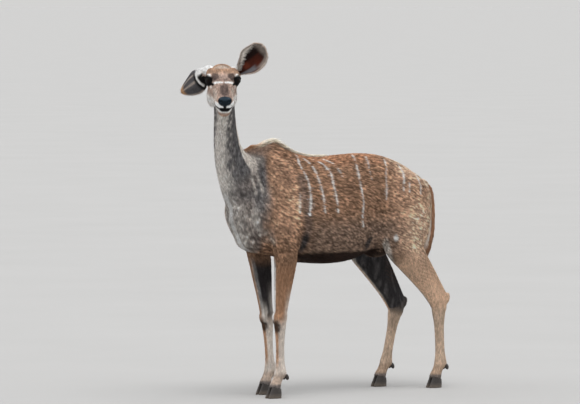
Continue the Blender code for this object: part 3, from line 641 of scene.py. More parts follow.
def eye_frame(side):
    """The middle of an eyeball, the way it looks, the way across and the way up, in the head's frame."""
    at = Vector((EYE_AT.x, side * EYE_AT.y, EYE_AT.z))
    looks = Vector((EYE_LOOKS.x, side * EYE_LOOKS.y, EYE_LOOKS.z))
    across = Vector((0, 0, 1)).cross(looks).normalized()
    lift = looks.cross(across).normalized()
    # The slit runs down towards the nose.
    tilt = Matrix.Rotation(-side * math.radians(14), 3, looks)
    return at, looks, tilt @ across, tilt @ lift


def lid_line(side, grow=0.0, count=28):
    """The almond that the lids leave open, as directions across and up, pointed at both corners."""
    line = []
    for i in range(count):
        angle = 2 * math.pi * i / count
        across, up = math.cos(angle), math.sin(angle)
        high = (0.0088 if up > 0 else 0.0066) + grow
        line.append(((0.0158 + grow) * across, high * rounded(up, 1.0) * (1 - 0.12 * across * across)))
    return line


def lid_cutter(side):
    """The space between the lids: an almond that widens outwards from the eyeball's middle."""
    at, looks, across, lift = eye_frame(side)
    bm = bmesh.new()
    rings = []
    for reach in (0.008, 0.050):
        verts = bmesh.ops.create_circle(bm, segments=28, radius=1.0)["verts"]
        for v, (a, u) in zip(verts, lid_line(side)):
            v.co = at + (looks * 0.0150 + across * a + lift * u) * (reach / 0.0150)
        rings.append(verts)
    bmesh.ops.bridge_loops(bm, edges=ring_edges(rings[0]) + ring_edges(rings[1]))
    for ring in rings:
        bmesh.ops.contextual_create(bm, geom=ring_edges(ring))
    return piece_of("slit", bm)


def add_lids(bm, side):
    """The ball of both lids, the thick rim along the slit, and the fold over the upper lid."""
    at, looks, across, lift = eye_frame(side)
    bmesh.ops.create_uvsphere(
        bm, u_segments=32, v_segments=20, radius=EYE_RADIUS + 0.0026, matrix=Matrix.Translation(at)
    )

    def bead(points, radius):
        rows = [(*(at + p), radius, radius) for p in points]
        add_loft(bm, limb_sections(rows), sides=10)

    for turn in (0.0, math.pi):
        line = lid_line(side, 0.0008, 40)
        half = [line[(i + (0 if turn == 0.0 else 20)) % 40] for i in range(21)]
        rim = [(looks * 0.0150 + across * a + lift * u).normalized() * (EYE_RADIUS + 0.0016) for a, u in half]
        bead(rim, 0.0019)
    fold = []
    for i in range(15):
        swing = math.radians(-62 + 124 * i / 14)
        way = looks * 0.55 + across * (0.95 * math.sin(swing)) + lift * (0.78 * math.cos(swing))
        fold.append(way.normalized() * (EYE_RADIUS + 0.0030))
    bead(fold, 0.0030)


def mouth_cutter():
    """The line of the mouth: a thin wedge swept round the muzzle from corner to corner."""
    bm = bmesh.new()
    steps = 24
    rows = []
    for i in range(steps + 1):
        angle = math.pi * (i / steps - 0.5)
        forward = MOUTH_CORNER + (HEAD_LENGTH - 0.012 - MOUTH_CORNER) * math.cos(angle) ** 0.55
        lift = 0.010 * abs(math.sin(angle)) ** 3
        rows.append(Vector((forward, 0.0445 * math.sin(angle), MOUTH_LEVEL + lift)))
    rings = []
    for i, point in enumerate(rows):
        along = (rows[min(i + 1, steps)] - rows[max(i - 1, 0)]).normalized()
        out = along.cross(Vector((0, 0, 1))).normalized()
        if out.dot(Vector((point.x - 0.27, point.y, 0))) < 0:
            out.negate()
        corners = (out * -0.0070, out * 0.020 + Vector((0, 0, 0.0030)), out * 0.020 - Vector((0, 0, 0.0030)))
        verts = bmesh.ops.create_circle(bm, segments=3, radius=1.0)["verts"]
        for v, corner in zip(verts, corners):
            v.co = point + corner
        rings.append(verts)
    for first, second in zip(rings, rings[1:]):
        bmesh.ops.bridge_loops(bm, edges=ring_edges(first) + ring_edges(second))
    for end in (rings[0], rings[-1]):
        bmesh.ops.contextual_create(bm, geom=ring_edges(end))
    return piece_of("mouth", bm)


bm = bmesh.new()
add_loft(bm, [upright_section(*row) for row in through(HEAD_STATIONS, 5)], 48)
for side in (LEFT, RIGHT):
    # Cheek, brow ridge, eye socket, tear line, lip and nostril wing.
    add_ellipsoid(bm, (0.080, side * 0.045, -0.076), (0.066, 0.027, 0.055), math.radians(12))
    add_ellipsoid(bm, (0.112, side * 0.050, 0.043), (0.050, 0.030, 0.022), math.radians(8))
    add_ellipsoid(bm, (0.126, side * 0.058, 0.014), (0.038, 0.026, 0.032))
    add_ellipsoid(bm, (0.190, side * 0.038, -0.006), (0.050, 0.016, 0.026), math.radians(16))
    add_ellipsoid(bm, (0.290, side * 0.027, -0.040), (0.048, 0.021, 0.022), math.radians(6))
    add_ellipsoid(bm, (0.330, side * 0.021, -0.012), (0.020, 0.0155, 0.017), math.radians(10))
# The roots of the ears on the sides of the crown, the right one bent outwards.
add_ellipsoid(bm, (0.010, 0.054, 0.012), (0.032, 0.026, 0.032))
add_ellipsoid(bm, (0.004, -0.062, 0.020), (0.030, 0.032, 0.028))
# Nose pad, lower lip and chin.
add_ellipsoid(bm, (0.331, 0.0, -0.022), (0.0215, 0.030, 0.026), math.radians(10))
add_ellipsoid(bm, (0.300, 0.0, -0.084), (0.036, 0.030, 0.022), math.radians(4))
bm.transform(head_matrix())
add_neck(bm)
head = fused(piece_of("head_form", bm), 0.0028)
smoothed(head, 11, places_of(head.data)[:, 2] > 0)
sunk(head, 0.0014)
cut_open(head, HEAD_CUT[0] - HEAD_CUT[1] * 0.020, -HEAD_CUT[1], cap=True)
head.data.transform(head_matrix().inverted())
bm = bmesh.new()
for side in (LEFT, RIGHT):
    add_lids(bm, side)
    # A lip fold runs to the mouth's corner.
    add_ellipsoid(bm, (0.250, side * 0.0385, -0.048), (0.020, 0.006, 0.010), math.radians(30))
bm.from_mesh(head.data)
bpy.data.objects.remove(head)
head = fused(piece_of("head_form", bm), HEAD_VOXEL)
seats = []
for side in (LEFT, RIGHT):
    bm = bmesh.new()
    bmesh.ops.create_uvsphere(
        bm, u_segments=48, v_segments=32, radius=EYE_RADIUS + 0.0003,
        matrix=Matrix.Translation(eye_frame(side)[0]),
    )
    seats.append(piece_of("seat", bm))
    seats.append(lid_cutter(side))
    for offset, radii in NOSTRIL_LOBES:
        bm = bmesh.new()
        at = NOSTRIL_AT + Vector(offset)
        add_ellipsoid(bm, (at.x, side * at.y, at.z), radii, math.radians(10), side * math.radians(38), 20)
        seats.append(piece_of("nostril", bm))
# The groove between the nostrils, down to the lip.
bm = bmesh.new()
add_ellipsoid(bm, (0.3545, 0.0, -0.040), (0.0060, 0.0014, 0.0150), math.radians(12), 0.0, 16)
seats.append(piece_of("groove", bm))

combined(head, [*seats, mouth_cutter()], "DIFFERENCE")
at = places_of(head.data)
smoothed(head, 2, at[:, 0] > -0.1)

# Ears: a cup that opens from a narrow tube, thin at its rim. Each has its root in the head's frame,
# and its axis and the way the cup opens as left, up and forward.
EARS = {
    "ear_left": ((0.006, 0.064, 0.004), (0.70, 0.70, -0.16), (0.14, -0.02, 1.0)),
    "ear_right": ((0.002, -0.078, 0.020), (-0.56, -0.69, -0.46), (0.62, -0.40, -0.50)),
}
# Across the skin from rim to rim, at even steps from root to tip. The right ear hangs half folded.
EAR_WIDTHS = {
    "ear_left": (0.060, 0.083, 0.108, 0.130, 0.148, 0.160, 0.166, 0.167, 0.162, 0.151, 0.133, 0.104, 0.040),
    "ear_right": (0.060, 0.083, 0.110, 0.136, 0.152, 0.158, 0.154, 0.142, 0.125, 0.104, 0.082, 0.060, 0.028),
}
EAR_COLUMNS = 30
EAR_THICKNESS = 0.0026


def ear_cup(name):
    """Rows of points over the cup, from root to tip, each from rim to rim, with its axis and opening."""
    root, (left, up, forward), (open_left, open_up, open_forward) = EARS[name]
    axis = Vector((forward, left, up)).normalized()
    opens = Vector((open_forward, open_left, open_up))
    opens = (opens - axis * opens.dot(axis)).normalized()
    side = axis.cross(opens)
    widths = through([(width,) for width in EAR_WIDTHS[name]], 3)
    rows = []
    for i, (width,) in enumerate(widths):
        t = i / (len(widths) - 1)
        wrap = math.radians(300 - 178 * min(1.0, t / 0.5) ** 0.8 - 34 * max(0.0, t - 0.5))
        radius = width / wrap
        middle = Vector(root) + axis * (EAR_LENGTH * t) - opens * (0.012 * math.sin(math.pi * t))
        row = []
        for j in range(EAR_COLUMNS + 1):
            share = j / EAR_COLUMNS - 0.5
            swing = wrap * share
            droop = -0.018 * t * (1 - math.cos(swing)) * EAR_LENGTH
            # Low ridges run up the cup, and the rim waves a little.
            reach = radius - 0.0011 * math.cos(share * 38) * math.sin(math.pi * t) ** 2
            reach += 0.0016 * math.sin(17 * t + 4 * share) * (2 * abs(share)) ** 3
            row.append(
                middle + side * (reach * math.sin(swing)) + opens * (radius - reach * math.cos(swing))
                + axis * droop
            )
        rows.append(row)
    return rows, axis, opens


def ear_form(name):
    rows, axis, opens = ear_cup(name)
    bm = bmesh.new()
    bmesh.ops.create_grid(bm, x_segments=EAR_COLUMNS, y_segments=len(rows) - 1, size=0.5)
    for v in bm.verts:
        i = round((v.co.y + 0.5) * (len(rows) - 1))
        j = round((v.co.x + 0.5) * EAR_COLUMNS)
        v.co = rows[i][j]
    bmesh.ops.recalc_face_normals(bm, faces=bm.faces)
    bmesh.ops.solidify(bm, geom=bm.faces[:], thickness=EAR_THICKNESS)
    shell = piece_of(name + "_form", bm)
    plug = bmesh.new()
    base = [
        (*(Vector(EARS[name][0]) + axis * reach + opens * 0.0095), radius, radius)
        for reach, radius in ((-0.010, 0.0120), (0.0, 0.0135), (0.016, 0.0115))
    ]
    add_loft(plug, limb_sections(base), sides=20)
    combined(shell, [piece_of("plug", plug)], "UNION")
    shell.data.transform(head_matrix())
    return shell


head.data.transform(head_matrix())
cut_open(head, HEAD_CUT[0] + HEAD_CUT[1] * 0.002, -HEAD_CUT[1])

# Both skins become one, bridged round the neck, and each leg ends at its coronet.
bm = bmesh.new()
bm.from_mesh(body.data)
bm.from_mesh(head.data)
bpy.data.objects.remove(body)
bpy.data.objects.remove(head)
bmesh.ops.bridge_loops(bm, edges=[e for e in bm.edges if e.is_boundary])
near = [v for v in bm.verts if abs((v.co - HEAD_CUT[0]).dot(HEAD_CUT[1])) < 0.016 and v.co.z > 1.3]
for _ in range(6):
    bmesh.ops.smooth_vert(bm, verts=near, factor=0.5, use_axis_x=True, use_axis_y=True, use_axis_z=True)
skin = piece_of("skin", bm)
CORONET_TILT = math.radians(13)
for name in LEGS:
    foot = Vector(LEGS[name][4])
    bm = bmesh.new()
    bm.from_mesh(skin.data)
    reach = 0.06
    leg = [f for f in bm.faces if (f.calc_center_median() - foot).length < reach]
    parts = dict.fromkeys([*leg, *(e for f in leg for e in f.edges), *(v for f in leg for v in f.verts)])
    cut = bmesh.ops.bisect_plane(
        bm, geom=list(parts), dist=1e-6, plane_co=foot,
        plane_no=Vector((-math.sin(CORONET_TILT), 0.0, -math.cos(CORONET_TILT))), clear_outer=True,
    )["geom_cut"]
    rim = [e for e in cut if isinstance(e, bmesh.types.BMEdge)]
    bmesh.ops.contextual_create(bm, geom=rim)
    bm.to_mesh(skin.data)
    bm.free()
combined(skin, [ear_form(name) for name in EARS], "UNION")
thin = skin.modifiers.new("thin out", "DECIMATE")
thin.ratio = SKIN_TRIANGLES / sum(len(f.vertices) - 2 for f in skin.data.polygons)
thin.use_collapse_triangulate = True
applied(skin)
# Slivers that the joint of the ears leaves standing are taken off.
bm = bmesh.new()
bm.from_mesh(skin.data)
bmesh.ops.delete(bm, geom=[f for f in bm.faces if sum(e.is_boundary for e in f.edges) > 1], context="FACES")
bm.to_mesh(skin.data)
bm.free()
skin.data.materials.clear()
skin.data.polygons.foreach_set("material_index", np.zeros(len(skin.data.polygons), dtype=np.int32))
skin.data.shade_smooth()


# The coat's colours, which hide and hair share. Places are given beside the withers for the body, and
# in the head's own frame for the face.
FLANK = np.array((0.325, 0.193, 0.121))
SHOULDER = np.array((0.460, 0.285, 0.190))
SPINE = np.array((0.440, 0.220, 0.124))
HAUNCH = np.array((0.510, 0.320, 0.215))
RUMP = np.array((0.780, 0.540, 0.390))
# The belly's colour: its own dark hair under painted shade, near black.
BELLY_DARK_AND_SHADE = np.array((0.026, 0.013, 0.009))
LOW_FLANK = np.array((0.290, 0.205, 0.155))
SLATE = np.array((0.235, 0.222, 0.218))
DEEP_SLATE = np.array((0.110, 0.110, 0.118))
THROAT = np.array((0.780, 0.730, 0.680))
PALE = np.array((0.800, 0.730, 0.660))
WHITE = np.array((0.960, 0.950, 0.930))
RUFOUS = np.array((0.470, 0.225, 0.100))
KNEE_DARK = np.array((0.030, 0.015, 0.010))
INNER_LEG_SHADE = np.array((0.026, 0.029, 0.035))
SHANK = np.array((0.500, 0.370, 0.270))


def array_of(line):
    return np.array(line, dtype=float)


def off_line(at, line):
    """How far each place is from a line of points, and how far along it the nearest point is."""
    line = array_of(line)
    best = np.full(len(at), 1e9)
    where = np.zeros(len(at))
    for i in range(len(line) - 1):
        step = line[i + 1] - line[i]
        t = np.clip(((at - line[i]) @ step) / (step @ step), 0.0, 1.0)
        gap = np.linalg.norm(at - line[i] - t[:, None] * step, axis=1)
        nearer = gap < best
        best = np.where(nearer, gap, best)
        where = np.where(nearer, i + t, where)
    return best, where / (len(line) - 1)


def off_spot(at, spot, sizes):
    """How far each place is from a spot, where 1 is the spot's edge."""
    return np.linalg.norm((at - array_of(spot)) / array_of(sizes), axis=1)


def scatter(at, size, seed=0):
    """Smooth random values from 0 to 1 over space, about size from one to the next."""
    cell = np.floor(at / size)
    t = at / size - cell
    t = t * t * (3 - 2 * t)
    cell = cell.astype(np.int64)
    total = np.zeros(len(at))
    for corner in range(8):
        step = np.array((corner & 1, corner >> 1 & 1, corner >> 2 & 1))
        h = (cell + step) @ np.array((73856093, 19349663, 83492791)) + seed * 7919
        h = (h ^ (h >> 13)) * 1274126177 & 0x7FFFFFFF
        h = (h ^ (h >> 15)) * 668265263 & 0x7FFFFFFF
        total += (h >> 7 & 0xFFFF) / 65535 * np.prod(np.where(step, t, 1 - t), axis=1)
    return total


def side_of(at, cut):
    """How far each place is beyond a cut."""
    return (at - array_of(cut[0])) @ array_of(cut[1])


def round_neck(at):
    """How far up the neck each place is, from 0 to 1, and its angle round it: 0 at the throat."""
    rows, turns = neck_path()
    frames = limb_frames(rows, turns)
    centres, sides, fronts = (array_of([f[k] for f in frames]) for k in range(3))
    _, where = off_line(at, centres)
    place = where * (len(rows) - 1)
    i = np.minimum(place.astype(int), len(rows) - 2)
    t = (place - i)[:, None]
    centre, side, front = (blend(v[i], v[i + 1], t) for v in (centres, sides, fronts))
    out = at - centre
    return where, np.arctan2(np.sum(out * side, axis=1), np.sum(out * front, axis=1))


STRIPES = (
    # White lines on the left side, each with how bright it is.
    (((0.150, -0.045, 1.180), (0.132, -0.095, 1.145), (0.147, -0.129, 1.090), (0.152, -0.150, 1.043),
      (0.151, -0.165, 0.988), (0.137, -0.175, 0.893)), 1.0),
    (((0.185, -0.060, 1.165), (0.207, -0.099, 1.136), (0.217, -0.161, 1.034), (0.221, -0.179, 0.973),
      (0.223, -0.188, 0.904)), 0.75),
    (((0.250, -0.060, 1.160), (0.282, -0.102, 1.135), (0.297, -0.138, 1.094), (0.290, -0.172, 1.026),
      (0.296, -0.190, 0.957), (0.298, -0.195, 0.903)), 0.9),
    (((0.310, -0.060, 1.160), (0.346, -0.099, 1.140), (0.358, -0.152, 1.080)), 0.6),
    (((0.508, -0.041, 1.177), (0.469, -0.129, 1.118), (0.458, -0.165, 1.057), (0.459, -0.186, 0.988),
      (0.463, -0.192, 0.946), (0.451, -0.195, 0.884), (0.462, -0.188, 0.828)), 1.0),
    (((0.575, -0.064, 1.169), (0.546, -0.129, 1.116), (0.539, -0.159, 1.061)), 0.55),
    (((0.688, -0.074, 1.153), (0.643, -0.141, 1.100), (0.635, -0.160, 1.024), (0.622, -0.172, 0.962)), 0.8),
    (((0.779, -0.068, 1.130), (0.764, -0.125, 1.089), (0.755, -0.147, 1.055), (0.743, -0.161, 1.000)), 1.0),
    (((0.784, -0.156, 1.035), (0.776, -0.165, 0.993)), 0.8),
    (((0.845, -0.090, 1.105), (0.853, -0.138, 1.053), (0.861, -0.150, 1.018), (0.853, -0.160, 0.979)), 0.8),
    (((0.092, -0.153, 1.003), (0.081, -0.167, 0.896)), 0.45),
)


def leg_part(at, name):
    """How far down its joints a place is, the way across the leg from it, and how near it is."""
    joints = array_of(LEGS[name])
    gap, where = off_line(at, joints)
    place = where * 4
    i = np.minimum(place.astype(int), 3)
    centre = blend(joints[i], joints[i + 1], (place - i)[:, None])
    return place, at - centre, gap


def body_colours(at, out):
    """The coat on trunk, neck and legs."""
    x, y, z = at.T
    outer = np.abs(y)
    colour = np.tile(FLANK, (len(at), 1))

    def lay(hue, share):
        nonlocal colour
        colour = blend(colour, hue, np.clip(share, 0.0, 1.0)[:, None])

    lay(SHOULDER, fade(off_spot(at * (1, 0, 1), (-0.005, 0, 0.985), (0.150, 1, 0.260)), 1.1, 0.5))
    lay(HAUNCH, fade(off_spot(at * (1, 0, 1), (0.840, 0, 0.930), (0.230, 1, 0.300)), 1.1, 0.5))
    # The back and rump go paler on their upward-facing tops: partly their own hair, partly painted light from above.
    lay(SPINE, 0.75 * fade(out[:, 2], 0.62, 0.95) * fade(x, 0.05, 0.20) * fade(x, 0.72, 0.55))
    lay(RUMP, 0.85 * fade(out[:, 2], 0.25, 0.80) * fade(x, 0.62, 0.85))
    lay(RUMP, 0.80 * fade(x, 0.87, 0.96) * fade(z, 0.60, 0.80))
    lay(RUMP, 0.90 * fade(off_spot(at * (1, 0, 1), (0.840, 0, 0.760), (0.150, 1, 0.200)), 1.2, 0.4) * fade(outer, 0.08, 0.12))
    lay(LOW_FLANK, 0.8 * fade(z, 0.92, 0.80) * fade(x, 0.10, 0.20) * fade(x, 0.76, 0.66))
    # A painted highlight along the rear of the shoulder muscle.
    lay(SHOULDER * 1.35, 0.8 * fade(off_spot(at * (1, 0, 1), (0.055, 0, 0.900), (0.045, 1, 0.140)), 1.2, 0.4))
    # Painted shade, over some dark hair, in the hollows before and behind the shoulder, under the elbow and in the
    # flank's fold before the thigh.
    before, _ = off_line(at * (1, 0, 1), ((-0.075, 0, 1.165), (-0.105, 0, 1.060), (-0.135, 0, 0.930)))
    lay(SLATE, 0.80 * fade(x, -0.055, -0.095) * fade(z, 0.93, 1.0))
    lay(DEEP_SLATE, 0.75 * fade(before, 0.034, 0.008))
    # A painted highlight along the ridge of the shoulder blade.
    blade, _ = off_line(at * (1, 0, 1), ((0.0, 0, 1.190), (0.030, 0, 1.165), (0.062, 0, 1.120)))
    lay(SHOULDER * 1.5, 0.55 * fade(blade, 0.016, 0.005))
    lay(SPINE * 0.35, 0.55 * fade(off_spot(at * (1, 0, 1), (0.052, 0, 1.180), (0.034, 1, 0.022)), 1.2, 0.5))
    behind, _ = off_line(at * (1, 0, 1), ((0.118, 0, 1.070), (0.118, 0, 0.960), (0.132, 0, 0.840), (0.120, 0, 0.740)))
    lay(DEEP_SLATE * 0.7, 0.50 * fade(behind, 0.042, 0.006))
    lay(DEEP_SLATE * 0.3, 0.90 * fade(off_spot(at * (1, 0, 1), (0.128, 0, 0.760), (0.024, 1, 0.060)), 1.2, 0.4))
    lay(DEEP_SLATE * 0.3, 0.90 * fade(off_spot(at * (1, 0, 1), (0.535, 0, 0.745), (0.026, 1, 0.040)), 1.2, 0.4))
    # Painted shade, over the belly's own dark hair, on the downward-facing underside and round the udder.
    lay(BELLY_DARK_AND_SHADE, fade(out[:, 2], -0.40, -0.65) * fade(z, 0.718, 0.704) * fade(x, 0.0, 0.08))
    lay(BELLY_DARK_AND_SHADE, fade(off_spot(at, (0.57, 0.0, 0.675), (0.10, 0.085, 0.060)), 1.15, 0.85))
    # The chest is slate with a pale keel.
    ragged = x + 0.05 * (scatter(at, 0.045, 23) - 0.5)
    chest = fade(ragged, -0.050, -0.130) * fade(z, 1.08, 0.98)
    lay(SLATE, 0.70 * chest * fade(z, 0.66, 0.72))
    lay(THROAT, 0.60 * chest * fade(out[:, 0], -0.45, -0.90))
    lay(SHOULDER * 1.2, 0.60 * chest * fade(y, 0.030, 0.060) * fade(z, 0.80, 0.86))
    lay(WHITE, 0.85 * chest * fade(np.abs(y + 0.004), 0.020, 0.008) * fade(out[:, 0], -0.3, -0.6))
    tufts = scatter(at / (1.0, 1.0, 3.0), 0.016, 21)
    lay(PALE, 0.60 * chest * fade(tufts, 0.48, 0.75) * fade(z, 0.86, 0.78))
    lay(DEEP_SLATE * 0.7, 0.35 * chest * fade(tufts, 0.42, 0.22) * fade(z, 0.98, 0.86))
    # The neck: pale throat, mottled band, deep slate sides and a pale line beside the nape.
    neck = fade(side_of(at, NECK_CUT), -0.030, 0.050)
    up, round_it = round_neck(at)
    turn = np.abs(round_it)
    lay(SLATE, neck)
    lay(DEEP_SLATE, 0.55 * neck * fade(turn, 0.80, 1.30) * fade(turn, 2.2, 1.8))
    lay(THROAT, neck * fade(turn, 0.60, 0.25))
    blots = scatter(np.stack((turn * 0.07, 0 * turn, up * 0.55), axis=1), 0.013, 22)
    lay(THROAT, 0.45 * neck * fade(turn, 1.10, 0.70) * fade(blots, 0.40, 0.70))
    lay(DEEP_SLATE, 0.40 * neck * fade(turn, 0.30, 0.50) * fade(turn, 1.15, 0.95) * fade(blots, 0.45, 0.25))
    lay(PALE, neck * fade(turn, 1.90, 2.10) * fade(turn, 2.85, 2.65))
    lay(FLANK, 0.75 * neck * fade(turn, 2.70, 2.95))
    # Pale folds run on from the neck's rear edge over the slate in front of the shoulder.
    for fold in (((-0.135, 0, 1.200), (-0.150, 0, 1.080), (-0.140, 0, 1.010)),
                 ((-0.108, 0, 1.190), (-0.122, 0, 1.100), (-0.106, 0, 1.010))):
        gap, _ = off_line(at * (1, 0, 1), fold)
        lay(PALE, 0.50 * fade(gap, 0.014, 0.002) * fade(outer, 0.02, 0.05))
    # White stripes, broken along their length. The right side's differ a little from the left's.
    for line, bright in STRIPES:
        for side in (LEFT, RIGHT):
            near = y * side > 0.01
            if not near.any():
                continue
            path = array_of(line) if side == LEFT else array_of(line) * (1, -1, 1) + (0.018, 0, 0.004)
            gap = np.full(len(at), 1.0)
            gap[near], _ = off_line(at[near], path)
            broken = scatter(at, 0.016, 5)
            share = fade(gap, 0.0075, 0.0030) * fade(broken, 0.15, 0.45) * bright
            lay(WHITE, share)
    lay(WHITE, 0.8 * fade(off_spot(at, (0.680, -0.178, 0.765), (0.012, 0.05, 0.018)), 1.3, 0.6))
    for name in LEGS:
        side = LEFT if name.endswith("left") else RIGHT
        place, away, gap = leg_part(at, name)
        mine = (y * side > 0) & (gap < 0.16) & ((x < 0.35) == name.startswith("fore"))
        below = fade(z, 0.70, 0.62) * mine
        inward = -side * out[:, 1]
        front = -out[:, 0]
        if name.startswith("fore"):
            lay(blend(FLANK, RUFOUS, 0.15) * 1.15, below * fade(place, 0.9, 1.3))
            # Painted shade, near black, on the upper foreleg's inner side.
            lay(INNER_LEG_SHADE, 0.95 * below * fade(inward, 0.05, 0.45) * fade(place, 2.2, 1.9))
            lay(PALE, 0.75 * below * fade(inward, 0.15, 0.5) * fade(front, 0.1, 0.5) * fade(z, 0.48, 0.40))
            lay(WHITE, 0.85 * below * fade(inward, -0.10, 0.10) * fade(inward, 0.75, 0.60) * fade(front, 0.5, 0.7) * (0.3 if side == RIGHT else 1.0))
            low = below * fade(z, 0.40, 0.34)
            lay(PALE, 0.80 * low)
            lay(RUFOUS, 0.80 * low * fade(front, 0.72, 0.92) * fade(z, 0.12, 0.20))
            lay(PALE, 0.65 * below * fade(place, 1.45, 1.9) * fade(front, 0.25, -0.45))
            knee = off_spot(at, array_of(LEGS[name][2]) - (0.0, 0.0, 0.034), (0.070, 0.032, 0.038)) + 0.5 * (scatter(at, 0.010, 24) - 0.5)
            lay(KNEE_DARK, 0.90 * mine * fade(knee, 1.20, 0.60) * fade(front, 0.20, 0.65))
        else:
            lay(blend(HAUNCH, SHANK, 0.6) * 1.45, below * fade(place, 0.9, 1.3))
            # Painted shade, near black, on the upper hind leg's inner side, and slate streaks of painted shade on its
            # inner side below.
            lay(INNER_LEG_SHADE, 0.97 * fade(z, 0.80, 0.70) * mine * fade(inward, 0.05, 0.45) * fade(place, 2.35, 2.05))
            lay(SLATE, 0.35 * mine * fade(inward, 0.3, 0.6) * fade(scatter(at / (1.0, 1.0, 6.0), 0.016, 26), 0.5, 0.8) * fade(z, 0.72, 0.62))
            lay(PALE * 0.8, 0.80 * mine * fade(front, 0.60, 0.80) * fade(z, 0.80, 0.72) * fade(z, 0.40, 0.50))
            lay(RUFOUS, 0.55 * below * fade(front, -0.70, -0.92) * fade(place, 1.2, 1.5))
            low = below * fade(place, 1.95, 2.25)
            lay(blend(SHANK, PALE, 0.40) * (1.05, 0.98, 0.90), 0.85 * low)
            lay(RUFOUS, 0.35 * low * fade(front, -0.6, -0.9))
        lay(blend(SHANK, FLANK, 0.5), 0.6 * mine * fade(z, 0.13, 0.10))
        lay(DEEP_SLATE, 0.75 * mine * fade(z, 0.074, 0.062))
    # Painted shade in fine creases across the rear of the thigh.
    crease_shade = np.sin((z + 0.30 * x + 0.012 * scatter(at, 0.030, 25)) * 2 * math.pi / 0.017)
    thigh = fade(off_spot(at * (1, 0, 1), (0.890, 0, 0.640), (0.075, 1, 0.130)), 1.2, 0.6) * fade(outer, 0.05, 0.09)
    lay(SPINE * 0.45, 0.40 * thigh * fade(crease_shade, 0.35, 0.95))
    tail = fade(off_line(at, [row[:3] for row in TAIL_STATIONS[2:]])[0], 0.045, 0.032) * fade(z, 1.03, 0.99)
    lay(blend(FLANK, SPINE, 0.5), tail)
    lay(PALE, 0.85 * tail * fade(out[:, 0], -0.45, -0.85))
    # Long streaks along the lie of the hair.
    trunk_way = np.array(((0.94, 0.0, -0.34), (0.0, 1.0, 0.0), (0.34, 0.0, 0.94)))
    streak = scatter(at @ trunk_way.T / (3.0, 1.5, 1.0), 0.0045, 1) - 0.5
    down = scatter(at / (1.0, 1.0, 3.0), 0.0045, 3) - 0.5
    upright = np.maximum(neck, fade(z, 0.72, 0.62))
    patch = scatter(at, 0.080, 4) - 0.5
    deep = (2.4 - 1.6 * fade(colour[:, 2], 0.45, 0.85)) * (1 - 0.55 * fade(z, 0.72, 0.60)) * (1 - 0.30 * upright)
    return colour * np.exp(deep * blend(streak, down, upright) + 0.22 * patch)[:, None]


FOREHEAD = np.array((0.380, 0.240, 0.160))
FACE = np.array((0.470, 0.345, 0.285))
NOSE_BRIDGE = np.array((0.066, 0.046, 0.043))
CHEEK = np.array((0.930, 0.880, 0.840))
NOSE_PAD = np.array((0.007, 0.013, 0.020))
NOSE_PAINTED_SHEEN = np.array((0.034, 0.056, 0.076))
LID = np.array((0.004, 0.003, 0.003))


def bare_skin(at):
    """Where a place in the head's frame is naked: nose pad, lip line, lids and nostrils."""
    f, l, u = at.T
    l = np.abs(l)
    pad = fade(off_spot(at * (1, 1, 1), (0.345, 0.0, -0.016), (0.022, 0.0345, 0.0235)), 1.06, 0.94)
    split = 0.0035 + 0.0035 * fade(u, -0.040, -0.056)
    groove = fade(l, split + 0.0015, split) * fade(f, 0.320, 0.330) * fade(u, 0.0, -0.01) * fade(u, -0.068, -0.062)
    edge = 0.010 * np.clip(l / 0.0445, 0, 1) ** 3
    full = 1 + 1.5 * fade(l, 0.028, 0.016)
    lips = fade(np.abs(u - MOUTH_LEVEL - edge + 0.001 * full) / full, 0.0050, 0.0036)
    lips *= fade(f, MOUTH_CORNER - 0.006, MOUTH_CORNER + 0.01)
    lids = np.zeros(len(at))
    for side in (LEFT, RIGHT):
        centre, looks, across, lift = (array_of(v) for v in eye_frame(side))
        way = at - centre
        reach = np.linalg.norm(way, axis=1)
        a, v, d = way @ across / reach, way @ lift / reach, way @ looks
        ring = np.sqrt((a / 1.20) ** 2 + (v / np.where(v > 0, 0.80, 0.66)) ** 2)
        lids = np.maximum(lids, fade(ring, 0.78, 0.68) * (reach < EYE_RADIUS + 0.006) * (d > 0))
        lids = np.maximum(lids, (reach < EYE_RADIUS + 0.0008) * 1.0)
    return np.maximum.reduce((pad, groove, lips, lids)), pad, lids


